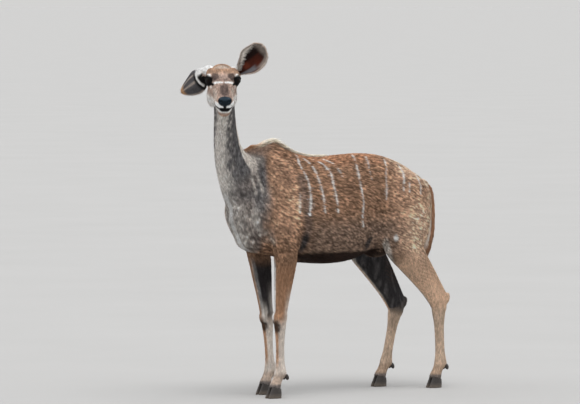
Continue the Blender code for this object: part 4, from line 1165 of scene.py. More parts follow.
def face_colours(at, out):
    """The coat on the head, in its own frame."""
    f, l, u = at.T
    wide = np.abs(l)
    colour = np.tile(FACE, (len(at), 1))

    def lay(hue, share):
        nonlocal colour
        colour = blend(colour, hue, np.clip(share, 0.0, 1.0)[:, None])

    top = fade(out[:, 2], 0.10, 0.55)
    lay(FOREHEAD, top * fade(f, 0.170, 0.120))
    lay(NOSE_BRIDGE, 0.85 * fade(out[:, 2], 0.55, 0.90) * fade(wide, 0.034, 0.012) * fade(f, 0.215, 0.260))
    mirrored = at * (1, 0, 1) + np.stack((0 * wide, wide, 0 * wide), axis=1)
    lay(PALE, 0.45 * fade(off_spot(mirrored, (0.255, 0.043, -0.015), (0.060, 0.016, 0.030)), 1.2, 0.5))
    lay(NOSE_BRIDGE, 0.85 * fade(off_spot(mirrored, (0.160, 0.039, 0.046), (0.024, 0.021, 0.030)), 1.15, 0.55))
    lay(NOSE_BRIDGE, 0.35 * top * fade(f, 0.150, 0.175) * fade(f, 0.215, 0.195))
    lay(PALE, 0.45 * fade(off_spot(at, (0.085, 0.0, 0.060), (0.026, 0.045, 0.060)), 1.2, 0.4))
    # Cheeks, throat and jaw go paler towards their lower edge.
    lay(CHEEK, fade(u, -0.045, -0.080) * fade(f, 0.250, 0.205))
    lay(CHEEK, 0.45 * fade(u, -0.030, -0.060) * fade(f, 0.10, 0.16) * fade(f, 0.300, 0.240))
    # The bars between the eyes, broken at the middle.
    for side in (LEFT, RIGHT):
        gap, _ = off_line(at, ((0.182, side * 0.049, 0.020), (0.204, side * 0.030, 0.031), (0.219, side * 0.009, 0.035)))
        lay(WHITE, 0.95 * fade(gap, 0.0080, 0.0045))
        spot = off_spot(at, (0.142, side * 0.066, 0.043), (0.017, 0.016, 0.010))
        lay(WHITE, 0.85 * fade(spot, 1.15, 0.65))
        under = off_spot(at, (0.168, side * 0.062, -0.006), (0.018, 0.018, 0.007))
        lay(WHITE, 0.45 * fade(under, 1.2, 0.6))
        tear, _ = off_line(at, ((0.160, side * 0.060, 0.010), (0.176, side * 0.053, 0.012), (0.186, side * 0.048, 0.013)))
        lay(LID, fade(tear, 0.0085, 0.0050))
        rim = array_of(eye_frame(side)[0])
        around = np.linalg.norm(at - rim, axis=1)
        lay(LID, fade(around, 0.0350, 0.0270) * fade(wide, 0.044, 0.054) * fade(u, 0.052, 0.040))
        root = off_spot(at, (0.016, side * 0.066, 0.038), (0.042, 0.036, 0.032))
        lay(WHITE, 0.95 * fade(root, 1.15, 0.85))
        # Painted shade in the fold that runs down from each nostril's outer corner.
        fold, _ = off_line(at, ((0.322, side * 0.040, -0.020), (0.312, side * 0.042, -0.040), (0.300, side * 0.045, -0.056)))
        lay(NOSE_BRIDGE * 0.4, 0.75 * fade(fold, 0.0065, 0.0025))
    # White upper lips beside the pad, a white lower lip and a tan chin.
    lay(WHITE, 0.95 * fade(f, 0.288, 0.306) * fade(u, -0.024, -0.032) * fade(u, -0.058, -0.054))
    lay(WHITE, 0.90 * fade(f, 0.262, 0.290) * fade(u, -0.056, -0.060) * fade(u, -0.082, -0.072))
    lay(FOREHEAD, 0.45 * fade(f, 0.27, 0.30) * fade(u, -0.078, -0.090))
    naked, pad, lids = bare_skin(at)
    lay(DEEP_SLATE * 0.35, fade(pad, 0.0, 0.3) * 0.9)
    lay(LID, naked)
    lay(NOSE_PAD, pad)
    # A painted reflection of the sky, bluish grey, on the nose pad's upward-facing top.
    lay(NOSE_PAINTED_SHEEN, 0.85 * pad * fade(out[:, 2], 0.15, 0.70))
    fine = scatter(at / (3.0, 1.0, 1.0), 0.0040, 6) - 0.5
    patch = scatter(at, 0.022, 7) - 0.5
    furry = 1 - naked
    return colour * np.exp((1.1 * fine + 0.6 * patch) * furry)[:, None], naked, pad


EAR_BACK = np.array((0.085, 0.080, 0.085))
EAR_RIM = np.array((0.640, 0.540, 0.470))
EAR_CUP_SHADE = np.array((0.012, 0.004, 0.003))
EAR_FLESH = np.array((0.085, 0.017, 0.008))
EAR_ORANGE = np.array((0.620, 0.340, 0.160))


def near_ear(at, name):
    """For places in the head's frame: how near the ear's cup is, how far up it and across it from its
    inner rim each is, from 0 to 1, and the way into the cup."""
    rows, axis, opens = ear_cup(name)
    grid = array_of([[p for p in row] for row in rows])
    ahead = (at - array_of(EARS[name][0])) @ array_of(axis)
    likely = np.flatnonzero((ahead > -0.02) & (ahead < EAR_LENGTH + 0.03))
    gap = np.full(len(at), 1.0)
    row = np.zeros(len(at))
    column = np.zeros(len(at))
    inward = np.zeros((len(at), 3))
    flat = grid.reshape(-1, 3)
    along = np.gradient(grid, axis=0)
    across = np.gradient(grid, axis=1)
    into = np.cross(along, across).reshape(-1, 3)
    into /= np.linalg.norm(into, axis=1)[:, None] + 1e-9
    if into[len(into) // 2] @ array_of(opens) < 0:
        into = -into
    for start in range(0, len(likely), 4000):
        some = likely[start:start + 4000]
        distance = ((at[some][:, None, :] - flat[None]) ** 2).sum(axis=2)
        best = distance.argmin(axis=1)
        gap[some] = np.sqrt(distance[np.arange(len(some)), best])
        row[some] = best // grid.shape[1] / (grid.shape[0] - 1)
        column[some] = best % grid.shape[1] / (grid.shape[1] - 1)
        inward[some] = into[best]
    if abs(grid[len(grid) // 2, 0, 1]) > abs(grid[len(grid) // 2, -1, 1]):
        column = 1 - column
    return gap, row, column, inward


def ear_colours(name, row, column, inside, at):
    """The ear's coat by its row and column, on the back or in the cup."""
    rim = np.abs(column - 0.5) * 2
    edge = np.maximum(rim, fade(row, 0.90, 1.0))
    colour = np.tile(EAR_BACK, (len(row), 1))

    def lay(hue, share):
        nonlocal colour
        colour = blend(colour, hue, np.clip(share, 0.0, 1.0)[:, None])

    for streak in (0.38, 0.62):
        lay(EAR_RIM, 0.50 * fade(np.abs(column - streak), 0.06, 0.01) * fade(row, 0.15, 0.45))
    lay(EAR_RIM, 0.80 * fade(edge, 0.84, 0.98))
    lay(EAR_ORANGE, 0.80 * fade(row, 0.80, 0.96))
    if name == "ear_right":
        # Where it folds over, a white line runs across it between painted black shadows, under a white tuft.
        lay(LID, 0.97 * fade(row, 0.42, 0.35) * fade(column, 0.75, 0.60))
        lay(WHITE, fade(row, 0.31, 0.28) * fade(column, 0.42, 0.55))
        lay(WHITE, fade(np.abs(row - 0.295), 0.024, 0.012) * fade(column, 0.05, 0.12))
    else:
        lay(WHITE, 0.8 * fade(row, 0.24, 0.16))
    back = colour.copy()
    # Inside: painted shade, black, along the inner half and deep near the root, red-brown flesh outside, a slate fold
    # low on the outer side, and dusty pink under the outer rim.
    colour = np.tile(EAR_CUP_SHADE, (len(row), 1))
    veins = scatter(np.stack((row * 0.06, column, 0 * row), axis=1), 0.075, 8)
    lay(EAR_FLESH, fade(column + 0.25 * (veins - 0.5), 0.46, 0.76) * fade(row, 0.90, 0.62))
    lay(EAR_FLESH * 2.4, 0.7 * fade(row, 0.48, 0.36) * fade(column, 0.46, 0.54) * fade(column, 0.74, 0.66) * fade(veins, 0.4, 0.6))
    lay(EAR_CUP_SHADE, 0.8 * fade(row, 0.34, 0.22) * fade(column, 0.80, 0.70))
    lay(DEEP_SLATE * 1.6, 0.9 * fade(column, 0.72, 0.78) * fade(column, 0.94, 0.88) * fade(row, 0.58, 0.42))
    lay(EAR_RIM * 0.50, 0.85 * fade(column, 0.82, 0.90) * fade(row, 0.42, 0.62))
    lay(EAR_RIM * 0.45, 0.80 * fade(row, 0.78, 0.92))
    lay(EAR_RIM, 0.85 * fade(edge, 0.86, 0.97))
    lay(PALE, 0.80 * fade(row, 0.30, 0.12) * fade(column, 0.5, 0.2))
    return blend(back, colour, inside[:, None]) * (1 + 0.4 * (scatter(at, 0.006, 9) - 0.5))[:, None]


def to_face(at, out):
    """Places and directions carried from the body's frame into the head's."""
    back = array_of(head_matrix().inverted())
    return at @ back[:3, :3].T + back[:3, 3], out @ back[:3, :3].T


def markings_and_painted_light(at, out):
    """The coat's colour at any place on the hide, painted light and shade included, how naked and how wet it is
    there, which ear it is on, and how far that place is up the ear, across it and inside it."""
    colour = body_colours(at, out)
    naked, wet = np.zeros(len(at)), np.zeros(len(at))
    ear = np.zeros((len(at), 4))
    beyond = side_of(at, HEAD_CUT)
    high = at[:, 2] > 1.35
    some = np.flatnonzero((beyond > -0.015) & high)
    tints, bare, pad = face_colours(*to_face(at[some], out[some]))
    share = fade(beyond[some], -0.010, 0.020)
    colour[some] = blend(colour[some], tints, share[:, None])
    naked[some] = bare * share
    wet[some] = pad
    some = np.flatnonzero(high & (np.linalg.norm(at - array_of(HEAD_AT), axis=1) < 0.30))
    in_head, out_head = to_face(at[some], out[some])
    for number, name in enumerate(EARS, 1):
        gap, row, column, inward = near_ear(in_head, name)
        mine = (gap < 0.0075) & (row > 0.10)
        inside = fade(np.sum(out_head * inward, axis=1), -0.3, 0.3)
        tints = ear_colours(name, row, column, inside, in_head)
        colour[some[mine]] = tints[mine]
        naked[some[mine]] = (inside * fade(row, 0.15, 0.3) * 0.45)[mine]
        wet[some[mine]] = 0.0
        ear[some[mine]] = np.stack((np.full(len(row), number), row, column, inside), axis=1)[mine]
    return np.clip(colour, 0.0, 1.0), naked, wet, ear


def paint(mesh, colour):
    mesh.color_attributes.new("markings_and_painted_light", "FLOAT_COLOR", "POINT").data.foreach_set(
        "color", np.concatenate((colour, np.ones((len(colour), 1))), axis=1).astype(np.float32).ravel()
    )


hide_at, hide_out = places_of(skin.data), places_of(skin.data, "normal")
colour, naked, wet, ear = markings_and_painted_light(hide_at, hide_out)
paint(skin.data, colour)
for name, values in (("naked", naked), ("wet", wet)):
    skin.data.attributes.new(name, "FLOAT", "POINT").data.foreach_set("value", values)

hide_finish, thread, surface = new_finish("hide", 0.75, 0.12)
tint = thread.node("ShaderNodeAttribute", {"attribute_name": "markings_and_painted_light"}, out=0)
bare = thread.node("ShaderNodeAttribute", {"attribute_name": "naked"}, out=2)
damp = thread.node("ShaderNodeAttribute", {"attribute_name": "wet"}, out=2)
stubble = grains(thread, 900.0, 2.0, (0.35, 1.0, 0.8), (0.0, math.radians(36), 0.0))
pebbles = thread.node("ShaderNodeTexVoronoi", None, {
    "Vector": thread.node("ShaderNodeTexCoord", out=3), "Scale": 620.0,
})
feed(surface, "Base Color", tint.shaded(stubble.between(0.15, 0.85).towards((0.72, 0.72, 0.72, 1), (1.12, 1.12, 1.12, 1))))
feed(surface, "Roughness", 0.80 - 0.25 * bare - 0.22 * damp)
relief = thread.node("ShaderNodeBump", None, {
    "Height": stubble * (1 - bare) + pebbles * bare * 0.6, "Strength": 0.5, "Distance": 0.0008,
})
feed(surface, "Normal", relief)
skin.data.materials.append(hide_finish)
hide_tree = BVHTree.FromPolygons(hide_at.tolist(), [tuple(f.vertices) for f in skin.data.polygons])


def settled(made):
    """Moves a finished piece from beside the withers to its place over the middle of the footprint."""
    made.data.transform(Matrix.Translation(WITHERS_AT))
    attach(made, "root")
    return made


settled(skin)
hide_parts("head", "neck", "torso", "tail", *EARS, *LEGS)


# Coat
# Short, flat guard hair over the whole hide, in thin closed tufts that bend back along its lie. It is
# longest on chest and rump, and very short and fine on face, ears and shanks.

chance = np.random.default_rng(11)
skin.data.calc_loop_triangles()
corners = np.empty(len(skin.data.loop_triangles) * 3, dtype=np.int32)
skin.data.loop_triangles.foreach_get("vertices", corners)
corners = corners.reshape(-1, 3)


def flat_on(way, out):
    """A direction laid flat on the hide."""
    flat = way - out * np.sum(way * out, axis=1)[:, None]
    return flat / (np.linalg.norm(flat, axis=1)[:, None] + 1e-9)


def sown(density):
    """Roots strewn evenly over the hide's triangles, density to the square metre on each."""
    a, b, c = (hide_at[corners[:, k]] for k in range(3))
    weight = np.linalg.norm(np.cross(b - a, c - a), axis=1) / 2 * density
    count = int(weight.sum())
    spots = (np.arange(count) + chance.random(count)) * weight.sum() / count
    chosen = corners[np.minimum(np.searchsorted(np.cumsum(weight), spots), len(corners) - 1)]
    u, v = chance.random((2, count))
    u, v = np.where(u + v > 1, (1 - u, 1 - v), (u, v))
    shares = np.stack((1 - u - v, u, v), axis=1)[:, :, None]
    out = (hide_out[chosen] * shares).sum(axis=1)
    return (hide_at[chosen] * shares).sum(axis=1), out / np.linalg.norm(out, axis=1)[:, None]


def add_hair(name, at, out, lie, length, width, rise, unwrapped, tints=None, rings=((0.38, 0.62, 1.0),), tone=0.13,
             root=0.78):
    """Joins one thin closed tuft for each root into a piece. A tuft is three-sided, sunk at its root, and
    bends from ring to ring down to its tip. A ring gives its share of length, of rise and of width."""
    count, last = len(at), 3 * len(rings) + 1
    length, width, rise = (np.broadcast_to(v, count)[:, None] for v in (length, width, rise))
    across = np.cross(out, lie)
    points = [at - out * 0.0014]
    for share, lift, wide in rings:
        middle = at + lie * length * share + out * rise * lift
        half = across * width * wide / 2
        points += [middle - half, middle + half, middle + out * width * wide * 0.30]
    points.append(at + lie * length + out * rise)
    faces = [(2, 1, 0), (3, 2, 0), (1, 3, 0)]
    for ring in range(len(rings) - 1):
        for i in range(3):
            a, b = 3 * ring + 1 + i, 3 * ring + 1 + (i + 1) % 3
            faces += [(a, b, b + 3), (a, b + 3, a + 3)]
    faces += [(last - 3 + i, last - 3 + (i + 1) % 3, last) for i in range(3)]
    places = np.stack(points, axis=1).reshape(-1, 3)
    corner = (np.arange(count)[:, None] * (last + 1) + np.array(faces).ravel()).ravel()
    mesh = bpy.data.meshes.new(name)
    mesh.vertices.add(len(places))
    mesh.vertices.foreach_set("co", places.ravel())
    mesh.loops.add(len(corner))
    mesh.loops.foreach_set("vertex_index", corner.astype(np.int32))
    mesh.polygons.add(len(corner) // 3)
    mesh.polygons.foreach_set("loop_start", np.arange(0, len(corner), 3, dtype=np.int32))
    mesh.update(calc_edges=True)

    # Each tuft's colour is the coat's own under its root, middle and tip, and a little its own, with painted shade
    # that darkens it towards its root, where the coat shades itself.
    shares = np.array((0.0, *(ring[0] for ring in rings), 1.0))
    if tints is None:
        tints = [markings_and_painted_light(at + lie * length * share, out)[0] for share in shares * 0.85]
    own = 1 + tone * chance.standard_normal(count)
    own = np.clip(own * np.where(chance.random(count) < 0.10, 1.25, 1.0), 0.55, 1.6)[:, None]
    shade = [root + (1.12 - root) * share for share in shares]
    rows = [np.clip(tint * own * level, 0, 1) for tint, level in zip(tints, shade)]
    spread = [rows[0]] + [row for row in rows[1:-1] for _ in range(3)] + [rows[-1]]
    paint(mesh, np.stack(spread, axis=1).reshape(-1, 3))

    # On the map each tuft is a small patch where its root lies on the unwrapped hide.
    turn = np.linspace(0.0, 2 * math.pi, last + 1, endpoint=False)
    patch = 0.0015 * np.stack((np.cos(turn), np.sin(turn)), axis=1)
    spots = 0.002 + 0.996 * unwrapped[:, None, :] + patch[None]
    mesh.uv_layers.new(name="OFBake").data.foreach_set(
        "uv", spots.reshape(-1, 2)[corner].astype(np.float32).ravel()
    )
    mesh.materials.append(hair_finish)
    piece = bpy.data.objects.new(name, mesh)
    bpy.context.scene.collection.objects.link(piece)
    return settled(piece)


def about(at, middle, lift):
    """The share of a turn that each place lies round an axis along X at a height."""
    return 0.5 + np.arctan2(at[:, 1] - middle, at[:, 2] - lift) / (2 * math.pi)


def body_lie(at, out):
    """Back and down over the trunk, down neck, chest and legs."""
    x, y, z = at.T
    lie = np.tile((0.96, 0.0, -0.26), (len(at), 1))

    def turn(way, share):
        nonlocal lie
        lie = blend(lie, way / np.linalg.norm(way, axis=-1, keepdims=True), np.reshape(share, (-1, 1)))

    turn(array_of((0.80, 0.0, -0.60)), fade(z, 1.12, 0.78))
    turn(array_of((0.42, 0.0, -0.90)), fade(x, 0.80, 0.98))
    turn(array_of((0.12, 0.0, -1.0)), fade(x, 0.06, -0.10))
    turn(array_of((1.0, 0.0, 0.05)), fade(out[:, 2], -0.45, -0.80) * fade(z, 0.84, 0.76))
    path = array_of([row[:3] for row in neck_path()[0]])
    _, where = off_line(at, path)
    down = path[:-1] - path[1:]
    turn(down[np.minimum((where * len(down)).astype(int), len(down) - 1)], fade(side_of(at, NECK_CUT), -0.06, 0.06))
    for name in LEGS:
        place, _, gap = leg_part(at, name)
        bones = np.diff(array_of(LEGS[name]), axis=0)
        mine = (gap < 0.16) & ((y > 0) == name.endswith("right")) & ((x < 0.35) == name.startswith("fore"))
        turn(bones[np.minimum(place.astype(int), 3)], fade(z, 0.76, 0.62) * mine)
    sway = 0.35 * (scatter(at, 0.045, 12) - 0.5) + 0.16 * chance.standard_normal(len(at))
    lie = flat_on(lie, out)
    return flat_on(lie + np.cross(out, lie) * sway[:, None], out)


def face_lie(at, out):
    """Forward down the nose, back over the crown, and back and down over cheeks and jaw."""
    f, l, u = at.T
    lie = blend(array_of((-0.80, 0.0, -0.60)), array_of((0.50, 0.0, -0.86)), fade(f, 0.20, 0.28)[:, None])
    top = fade(out[:, 2], 0.25, 0.60)[:, None]
    lie = blend(lie, array_of((1.0, 0.0, -0.1)), top * fade(f, 0.150, 0.185)[:, None])
    lie = blend(lie, np.stack((-np.ones(len(f)), 5 * l, 0 * f), axis=1), top * fade(f, 0.185, 0.150)[:, None])
    sway = 0.5 * (scatter(at, 0.020, 13) - 0.5) + 0.18 * chance.standard_normal(len(at))
    lie = flat_on(lie, out)
    return flat_on(lie + np.cross(out, lie) * sway[:, None], out)


hair_finish, thread, surface = new_finish("hair", 0.62, 0.12)
tint = thread.node("ShaderNodeAttribute", {"attribute_name": "markings_and_painted_light"}, out=0)
strand = grains(thread, 1500.0, 1.0)
feed(surface, "Base Color", tint.shaded(strand.towards((0.80, 0.80, 0.80, 1), (1.15, 1.15, 1.15, 1))))
feed(surface, "Roughness", 0.58 + 0.25 * strand)

middle = hide_at[corners].mean(axis=1)
beyond = side_of(middle, HEAD_CUT)
on_ear = ear[corners[:, 0], 0]
on_head = (beyond > 0) & (middle[:, 2] > 1.35) & (on_ear == 0)
on_neck = (side_of(middle, NECK_CUT) > 0) & (middle[:, 2] > 1.0) & ~on_head & (on_ear == 0)
on_body = ~on_head & (on_ear == 0)
on_leg = fade(middle[:, 2], 0.66, 0.56)
under_hoof = (hide_out[corners[:, 0], 2] < -0.6) & (middle[:, 2] < 0.06)
density = np.where(on_neck, 80000.0, 58000.0 + 38000.0 * on_leg) * on_body * ~under_hoof
at, out = sown(density)
lie = body_lie(at, out)
x, y, z = at.T
leg = fade(z, 0.66, 0.48)
neck = fade(side_of(at, NECK_CUT), -0.02, 0.06)
chest = fade(x, -0.05, -0.14) * fade(z, 1.15, 1.0)
length = blend(0.0175, 0.0085, leg)
length = blend(length, 0.0135, neck)
length = length + 0.008 * chest + 0.003 * fade(x, 0.80, 0.95)
length = length * chance.uniform(0.75, 1.2, len(at))
width = blend(0.0022, 0.0013, leg) * chance.uniform(0.8, 1.2, len(at))
rise = blend(blend(0.0036, 0.0014, leg), 0.0020, neck) * chance.uniform(0.6, 1.15, len(at))
# The belly's hair, dark and under painted shade, hangs lower.
hung = fade(out[:, 2], -0.45, -0.75) * fade(z, 0.74, 0.72) * fade(x, 0.06, 0.14) * fade(x, 0.60, 0.50)
length = length + 0.010 * hung
rise = rise + 0.012 * hung
is_neck = (side_of(at, NECK_CUT) > 0) & (z > 1.0)
is_leg = (z < 0.60) & ~is_neck & (np.hypot(x - 1.04, y) > 0.06)
regions = {
    "coat_neck": is_neck,
    "coat_forelegs": is_leg & (x < 0.4),
    "coat_hindlegs": is_leg & (x > 0.4),
}
trunk = ~is_neck & ~is_leg
for side, word in ((LEFT, "left"), (RIGHT, "right")):
    for rear, end in ((False, "shoulder"), (True, "haunch")):
        regions[f"coat_{end}_{word}"] = trunk & ((y > 0) == (side > 0)) & ((x > 0.36) == rear)
for name, mine in regions.items():
    here = at[mine]
    if name == "coat_neck":
        up, turn = round_neck(here)
        spots = np.stack((0.5 + turn / (2 * math.pi), up), axis=1)
    elif "leg" in name:
        turn = np.zeros(len(here))
        for leg_name in LEGS:
            _, away, gap = leg_part(here, leg_name)
            own = (here[:, 1] > 0) == leg_name.endswith("right")
            half = 0.25 + 0.5 * leg_name.endswith("right")
            turn = np.where(own, half + np.arctan2(away[:, 1], away[:, 0]) / (4 * math.pi), turn)
        spots = np.stack((turn, here[:, 2] / 0.61), axis=1)
    else:
        far = np.hypot(here[:, 1], here[:, 2] - 0.93)
        end = np.where(here[:, 0] > 0.36, 1, -1) * (0.26 - np.minimum(far, 0.26))
        spots = np.stack((about(here, 0.0, 0.93), (here[:, 0] + end + 0.55) / 1.90), axis=1)
    spots = np.clip(spots, 0, 1)
    add_hair(name, here, out[mine], lie[mine], length[mine], width[mine], rise[mine], spots)


# Face hair
# The finest hair of the coat: a few millimetres round the eyes and lips, longer over cheeks and crown,
# and a soft white ruff at the angle of the jaw.

at, out = sown(215000.0 * on_head)
in_head, out_head = to_face(at, out)
eyes = [array_of(eye_frame(side)[0]) for side in (LEFT, RIGHT)]
from_eye = np.minimum(*(np.linalg.norm(in_head - eye, axis=1) for eye in eyes))
kept = (bare_skin(in_head)[0] < 0.35) & (from_eye > EYE_RADIUS + 0.0035)
at, out, in_head, out_head, from_eye = (v[kept] for v in (at, out, in_head, out_head, from_eye))
f, l, u = in_head.T
lie = face_lie(in_head, out_head) @ array_of(head_matrix()).T[:3, :3]
jaw = fade(u, -0.060, -0.095) * fade(f, 0.215, 0.150)
length = blend(0.0072, 0.0115, jaw) + 0.0045 * fade(f, 0.085, 0.030)
length = blend(length, 0.0038, np.maximum(fade(from_eye, 0.038, 0.026), fade(f, 0.275, 0.315)))
length = length * chance.uniform(0.75, 1.2, len(at))
width = blend(0.0013, 0.0016, np.maximum(jaw, fade(f, 0.085, 0.030))) * chance.uniform(0.8, 1.2, len(at))
rise = blend(0.0009, 0.0024, jaw) * chance.uniform(0.6, 1.3, len(at))


def head_spots(in_head):
    """Where places on the head lie on its unwrapped hide."""
    far = np.minimum(np.hypot(in_head[:, 1], in_head[:, 2] + 0.03), 0.08)
    end = np.where(in_head[:, 0] > 0.15, 1, -1) * (0.08 - far)
    along = np.clip((in_head[:, 0] + end + 0.16) / 0.60, 0, 1)
    return np.stack((about(in_head, 0.0, -0.03), along), axis=1)


for word, half in (("left", l > 0), ("right", l <= 0)):
    face = add_hair(
        "coat_face_" + word, at[half], out[half], lie[half], length[half], width[half], rise[half],
        head_spots(in_head[half]), tone=0.09, root=0.92,
    )

# Ruff.
angle = np.exp(-(((f - 0.095) / 0.045) ** 2 + ((u + 0.092) / 0.030) ** 2)) * fade(np.abs(l), 0.030, 0.050)
some = np.flatnonzero(chance.random(len(at)) < 0.30 * angle)
down = flat_on(lie[some] + array_of((0.0, 0.0, -0.8)), out[some])
ruff = add_hair(
    "coat_ruff", at[some], out[some], down, chance.uniform(0.011, 0.017, len(some)), 0.0017,
    chance.uniform(0.002, 0.005, len(some)), head_spots(in_head[some]), rings=((0.25, 0.45, 1.0), (0.65, 0.95, 0.8)),
)


# Ear hair
# Short dark hair on the back of each ear, a pale fringe along its rim, and long grey-white hair that
# grows from the inner margin across the cup.

brim = np.maximum(np.abs(ear[corners[:, 0], 2] - 0.5) * 2, fade(ear[corners[:, 0], 1], 0.86, 1.0))
at, out = sown(100000.0 * (on_ear > 0) * (1 + 2.2 * fade(brim, 0.86, 0.96)))
_, _, _, ear = markings_and_painted_light(at, out)
kept = ear[:, 0] > 0
at, out, ear = at[kept], out[kept], ear[kept]
in_head, out_head = to_face(at, out)
number, row, column, inside = ear.T
lie = np.zeros((len(at), 3))
medial = np.zeros(len(at))
for which, name in enumerate(EARS, 1):
    rows, axis, opens = ear_cup(name)
    grid = array_of([[p for p in line] for line in rows])
    mine = number == which
    level = np.clip((row[mine] * (len(grid) - 1)).round().astype(int), 0, len(grid) - 1)
    away = in_head[mine] - grid[level, EAR_COLUMNS // 2]
    side_ways = away - (away @ array_of(axis))[:, None] * array_of(axis)
    side_ways /= np.linalg.norm(side_ways, axis=1)[:, None] + 1e-6
    edge = np.abs(column[mine] - 0.5) * 2
    lie[mine] = array_of(axis) + side_ways * blend(0.15, 1.5, fade(edge, 0.70, 0.95))[:, None]
    medial[mine] = fade(column[mine], 0.22, 0.03)
lie = flat_on(lie, out_head) @ array_of(head_matrix()).T[:3, :3]
sway = 0.35 * chance.standard_normal(len(at))
lie = flat_on(lie + np.cross(out, lie) * sway[:, None], out)
edge = np.maximum(np.abs(column - 0.5) * 2, fade(row, 0.86, 1.0))
tuft = (number == 2) * fade(row, 0.30, 0.24) * fade(column, 0.45, 0.60) * (1 - inside)
length = (blend(0.0062, 0.0095, fade(edge, 0.86, 0.97)) + 0.012 * tuft) * chance.uniform(0.7, 1.25, len(at))
thin = (inside > 0.5) & (edge < 0.84) & (chance.random(len(at)) < 0.93)
spots = np.stack(((number - 1 + 0.48 * column + 0.5 * (inside > 0.5)) / 2, row), axis=1)
width = blend(0.0011, 0.0007, fade(edge, 0.86, 0.95)) * chance.uniform(0.8, 1.2, len(at))
rise = (blend(0.0008, 0.0018, edge) + 0.006 * tuft) * chance.uniform(0.4, 1.5, len(at))
kept = ~thin
ears = add_hair(
    "coat_ears", at[kept], out[kept], lie[kept], length[kept], width[kept], rise[kept], spots[kept]
)

# Long hair of the inner margin.
some = np.flatnonzero((inside > 0.35) & (chance.random(len(at)) < 0.85 * medial * fade(row, 0.85, 0.55)))
into = np.zeros((len(some), 3))
for which, name in enumerate(EARS, 1):
    rows, axis, opens = ear_cup(name)
    grid = array_of([[p for p in line] for line in rows])
    mine = number[some] == which
    level = np.clip((row[some][mine] * (len(grid) - 1)).round().astype(int), 0, len(grid) - 1)
    centre = grid[level, EAR_COLUMNS // 2] + array_of(opens) * 0.03
    into[mine] = (centre - in_head[some][mine]) * 0.55 + array_of(axis) * 0.045
into = into @ array_of(head_matrix()).T[:3, :3]
into = into / np.linalg.norm(into, axis=1)[:, None] + 0.28 * chance.standard_normal(into.shape)
into = into / np.linalg.norm(into, axis=1)[:, None]
grey = PALE * chance.uniform(0.75, 1.35, (len(some), 1))
lift = out[some] - into * np.sum(out[some] * into, axis=1)[:, None]
lift = lift / np.linalg.norm(lift, axis=1)[:, None]
margin = add_hair(
    "ear_margin", at[some], lift, into, chance.uniform(0.014, 0.034, len(some)), 0.0010,
    chance.uniform(0.002, 0.008, len(some)), spots[some], [grey] * 4, ((0.30, 0.7, 1.0), (0.70, 0.9, 0.7)),
)


# Crest
# A thin upright mane from poll to withers, golden over the shoulders and sinking into the coat along
# the back.

CREST_AT = (-0.150, -0.120, -0.080, -0.035, 0.010, 0.055, 0.105, 0.160, 0.220, 0.290, 0.360)
CREST_LENGTHS = (0.040, 0.046, 0.052, 0.060, 0.066, 0.066, 0.064, 0.058, 0.048, 0.042, 0.034)
GOLD = np.array((1.000, 0.850, 0.670))
NAPE = np.array((0.200, 0.110, 0.070))


def crest_line():
    """Along the middle of nape and back: place, way out, way it lies, length and colour at each step."""
    path, turns = neck_path()
    frames = limb_frames(path, turns)
    line = []
    for i in range(len(frames) - 4, 10, -1):
        centre, _, front, along = frames[i]
        hit = hide_tree.ray_cast(centre - front * 0.4, front)[0]
        line.append((hit, -front, -along, 0.026, NAPE * 0.8))
    for x, length in zip(CREST_AT, CREST_LENGTHS):
        hit, here, further = (
            hide_tree.ray_cast(Vector((x + step, 0.0, 2.0)), Vector((0, 0, -1)))[0] for step in (0, -0.02, 0.02)
        )
        lie = (further - here).normalized()
        hue = blend(blend(RUFOUS, NAPE, 0.4), GOLD, fade(x, -0.105, -0.060))
        line.append((hit, Vector((-lie.z, 0, lie.x)), lie, length, hue))
    return line


line = crest_line()
places, ways, lies, lengths, hues = (array_of([step[k] for step in line]) for k in range(5))
count = 4200
reach = np.concatenate(((0.0,), np.cumsum(np.linalg.norm(np.diff(places, axis=0), axis=1))))
spot = np.sort(chance.random(count)) * reach[-1]


def along(values):
    values = values.reshape(len(values), -1)
    return np.stack([np.interp(spot, reach, column) for column in values.T], axis=1)


at, out, lie, length, hue = (along(v) for v in (places, ways, lies, lengths, hues))
out /= np.linalg.norm(out, axis=1)[:, None]
lie = flat_on(lie, out)
side_ways = np.cross(out, lie)
offset = np.clip(chance.standard_normal((count, 1)) * 0.0055, -0.012, 0.012)
at = at + side_ways * offset - out * (1.4 * offset**2 / 0.02 + 0.001)
lie = flat_on(lie + side_ways * (offset * 22 + 0.16 * chance.standard_normal((count, 1))), out)
length = length[:, 0] * chance.uniform(0.65, 1.12, count)
pale = 1 + 0.25 * chance.standard_normal((count, 1))
root = blend(hue, SHOULDER, 0.85)
crest = add_hair(
    "crest", at, out, lie, length, length * 0.040 + 0.0008, length * 0.26 * chance.uniform(0.8, 1.15, count),
    np.stack((0.5 + offset[:, 0] * 8, spot / reach[-1]), axis=1),
    [root, blend(root, hue, 0.35) * pale, hue * pale, hue * pale * 1.1], ((0.22, 0.58, 1.0), (0.62, 1.0, 0.75)),
)


# Tail
# Longer hair that hangs over the flat tail: brown outside, white underneath, and a dark tip.

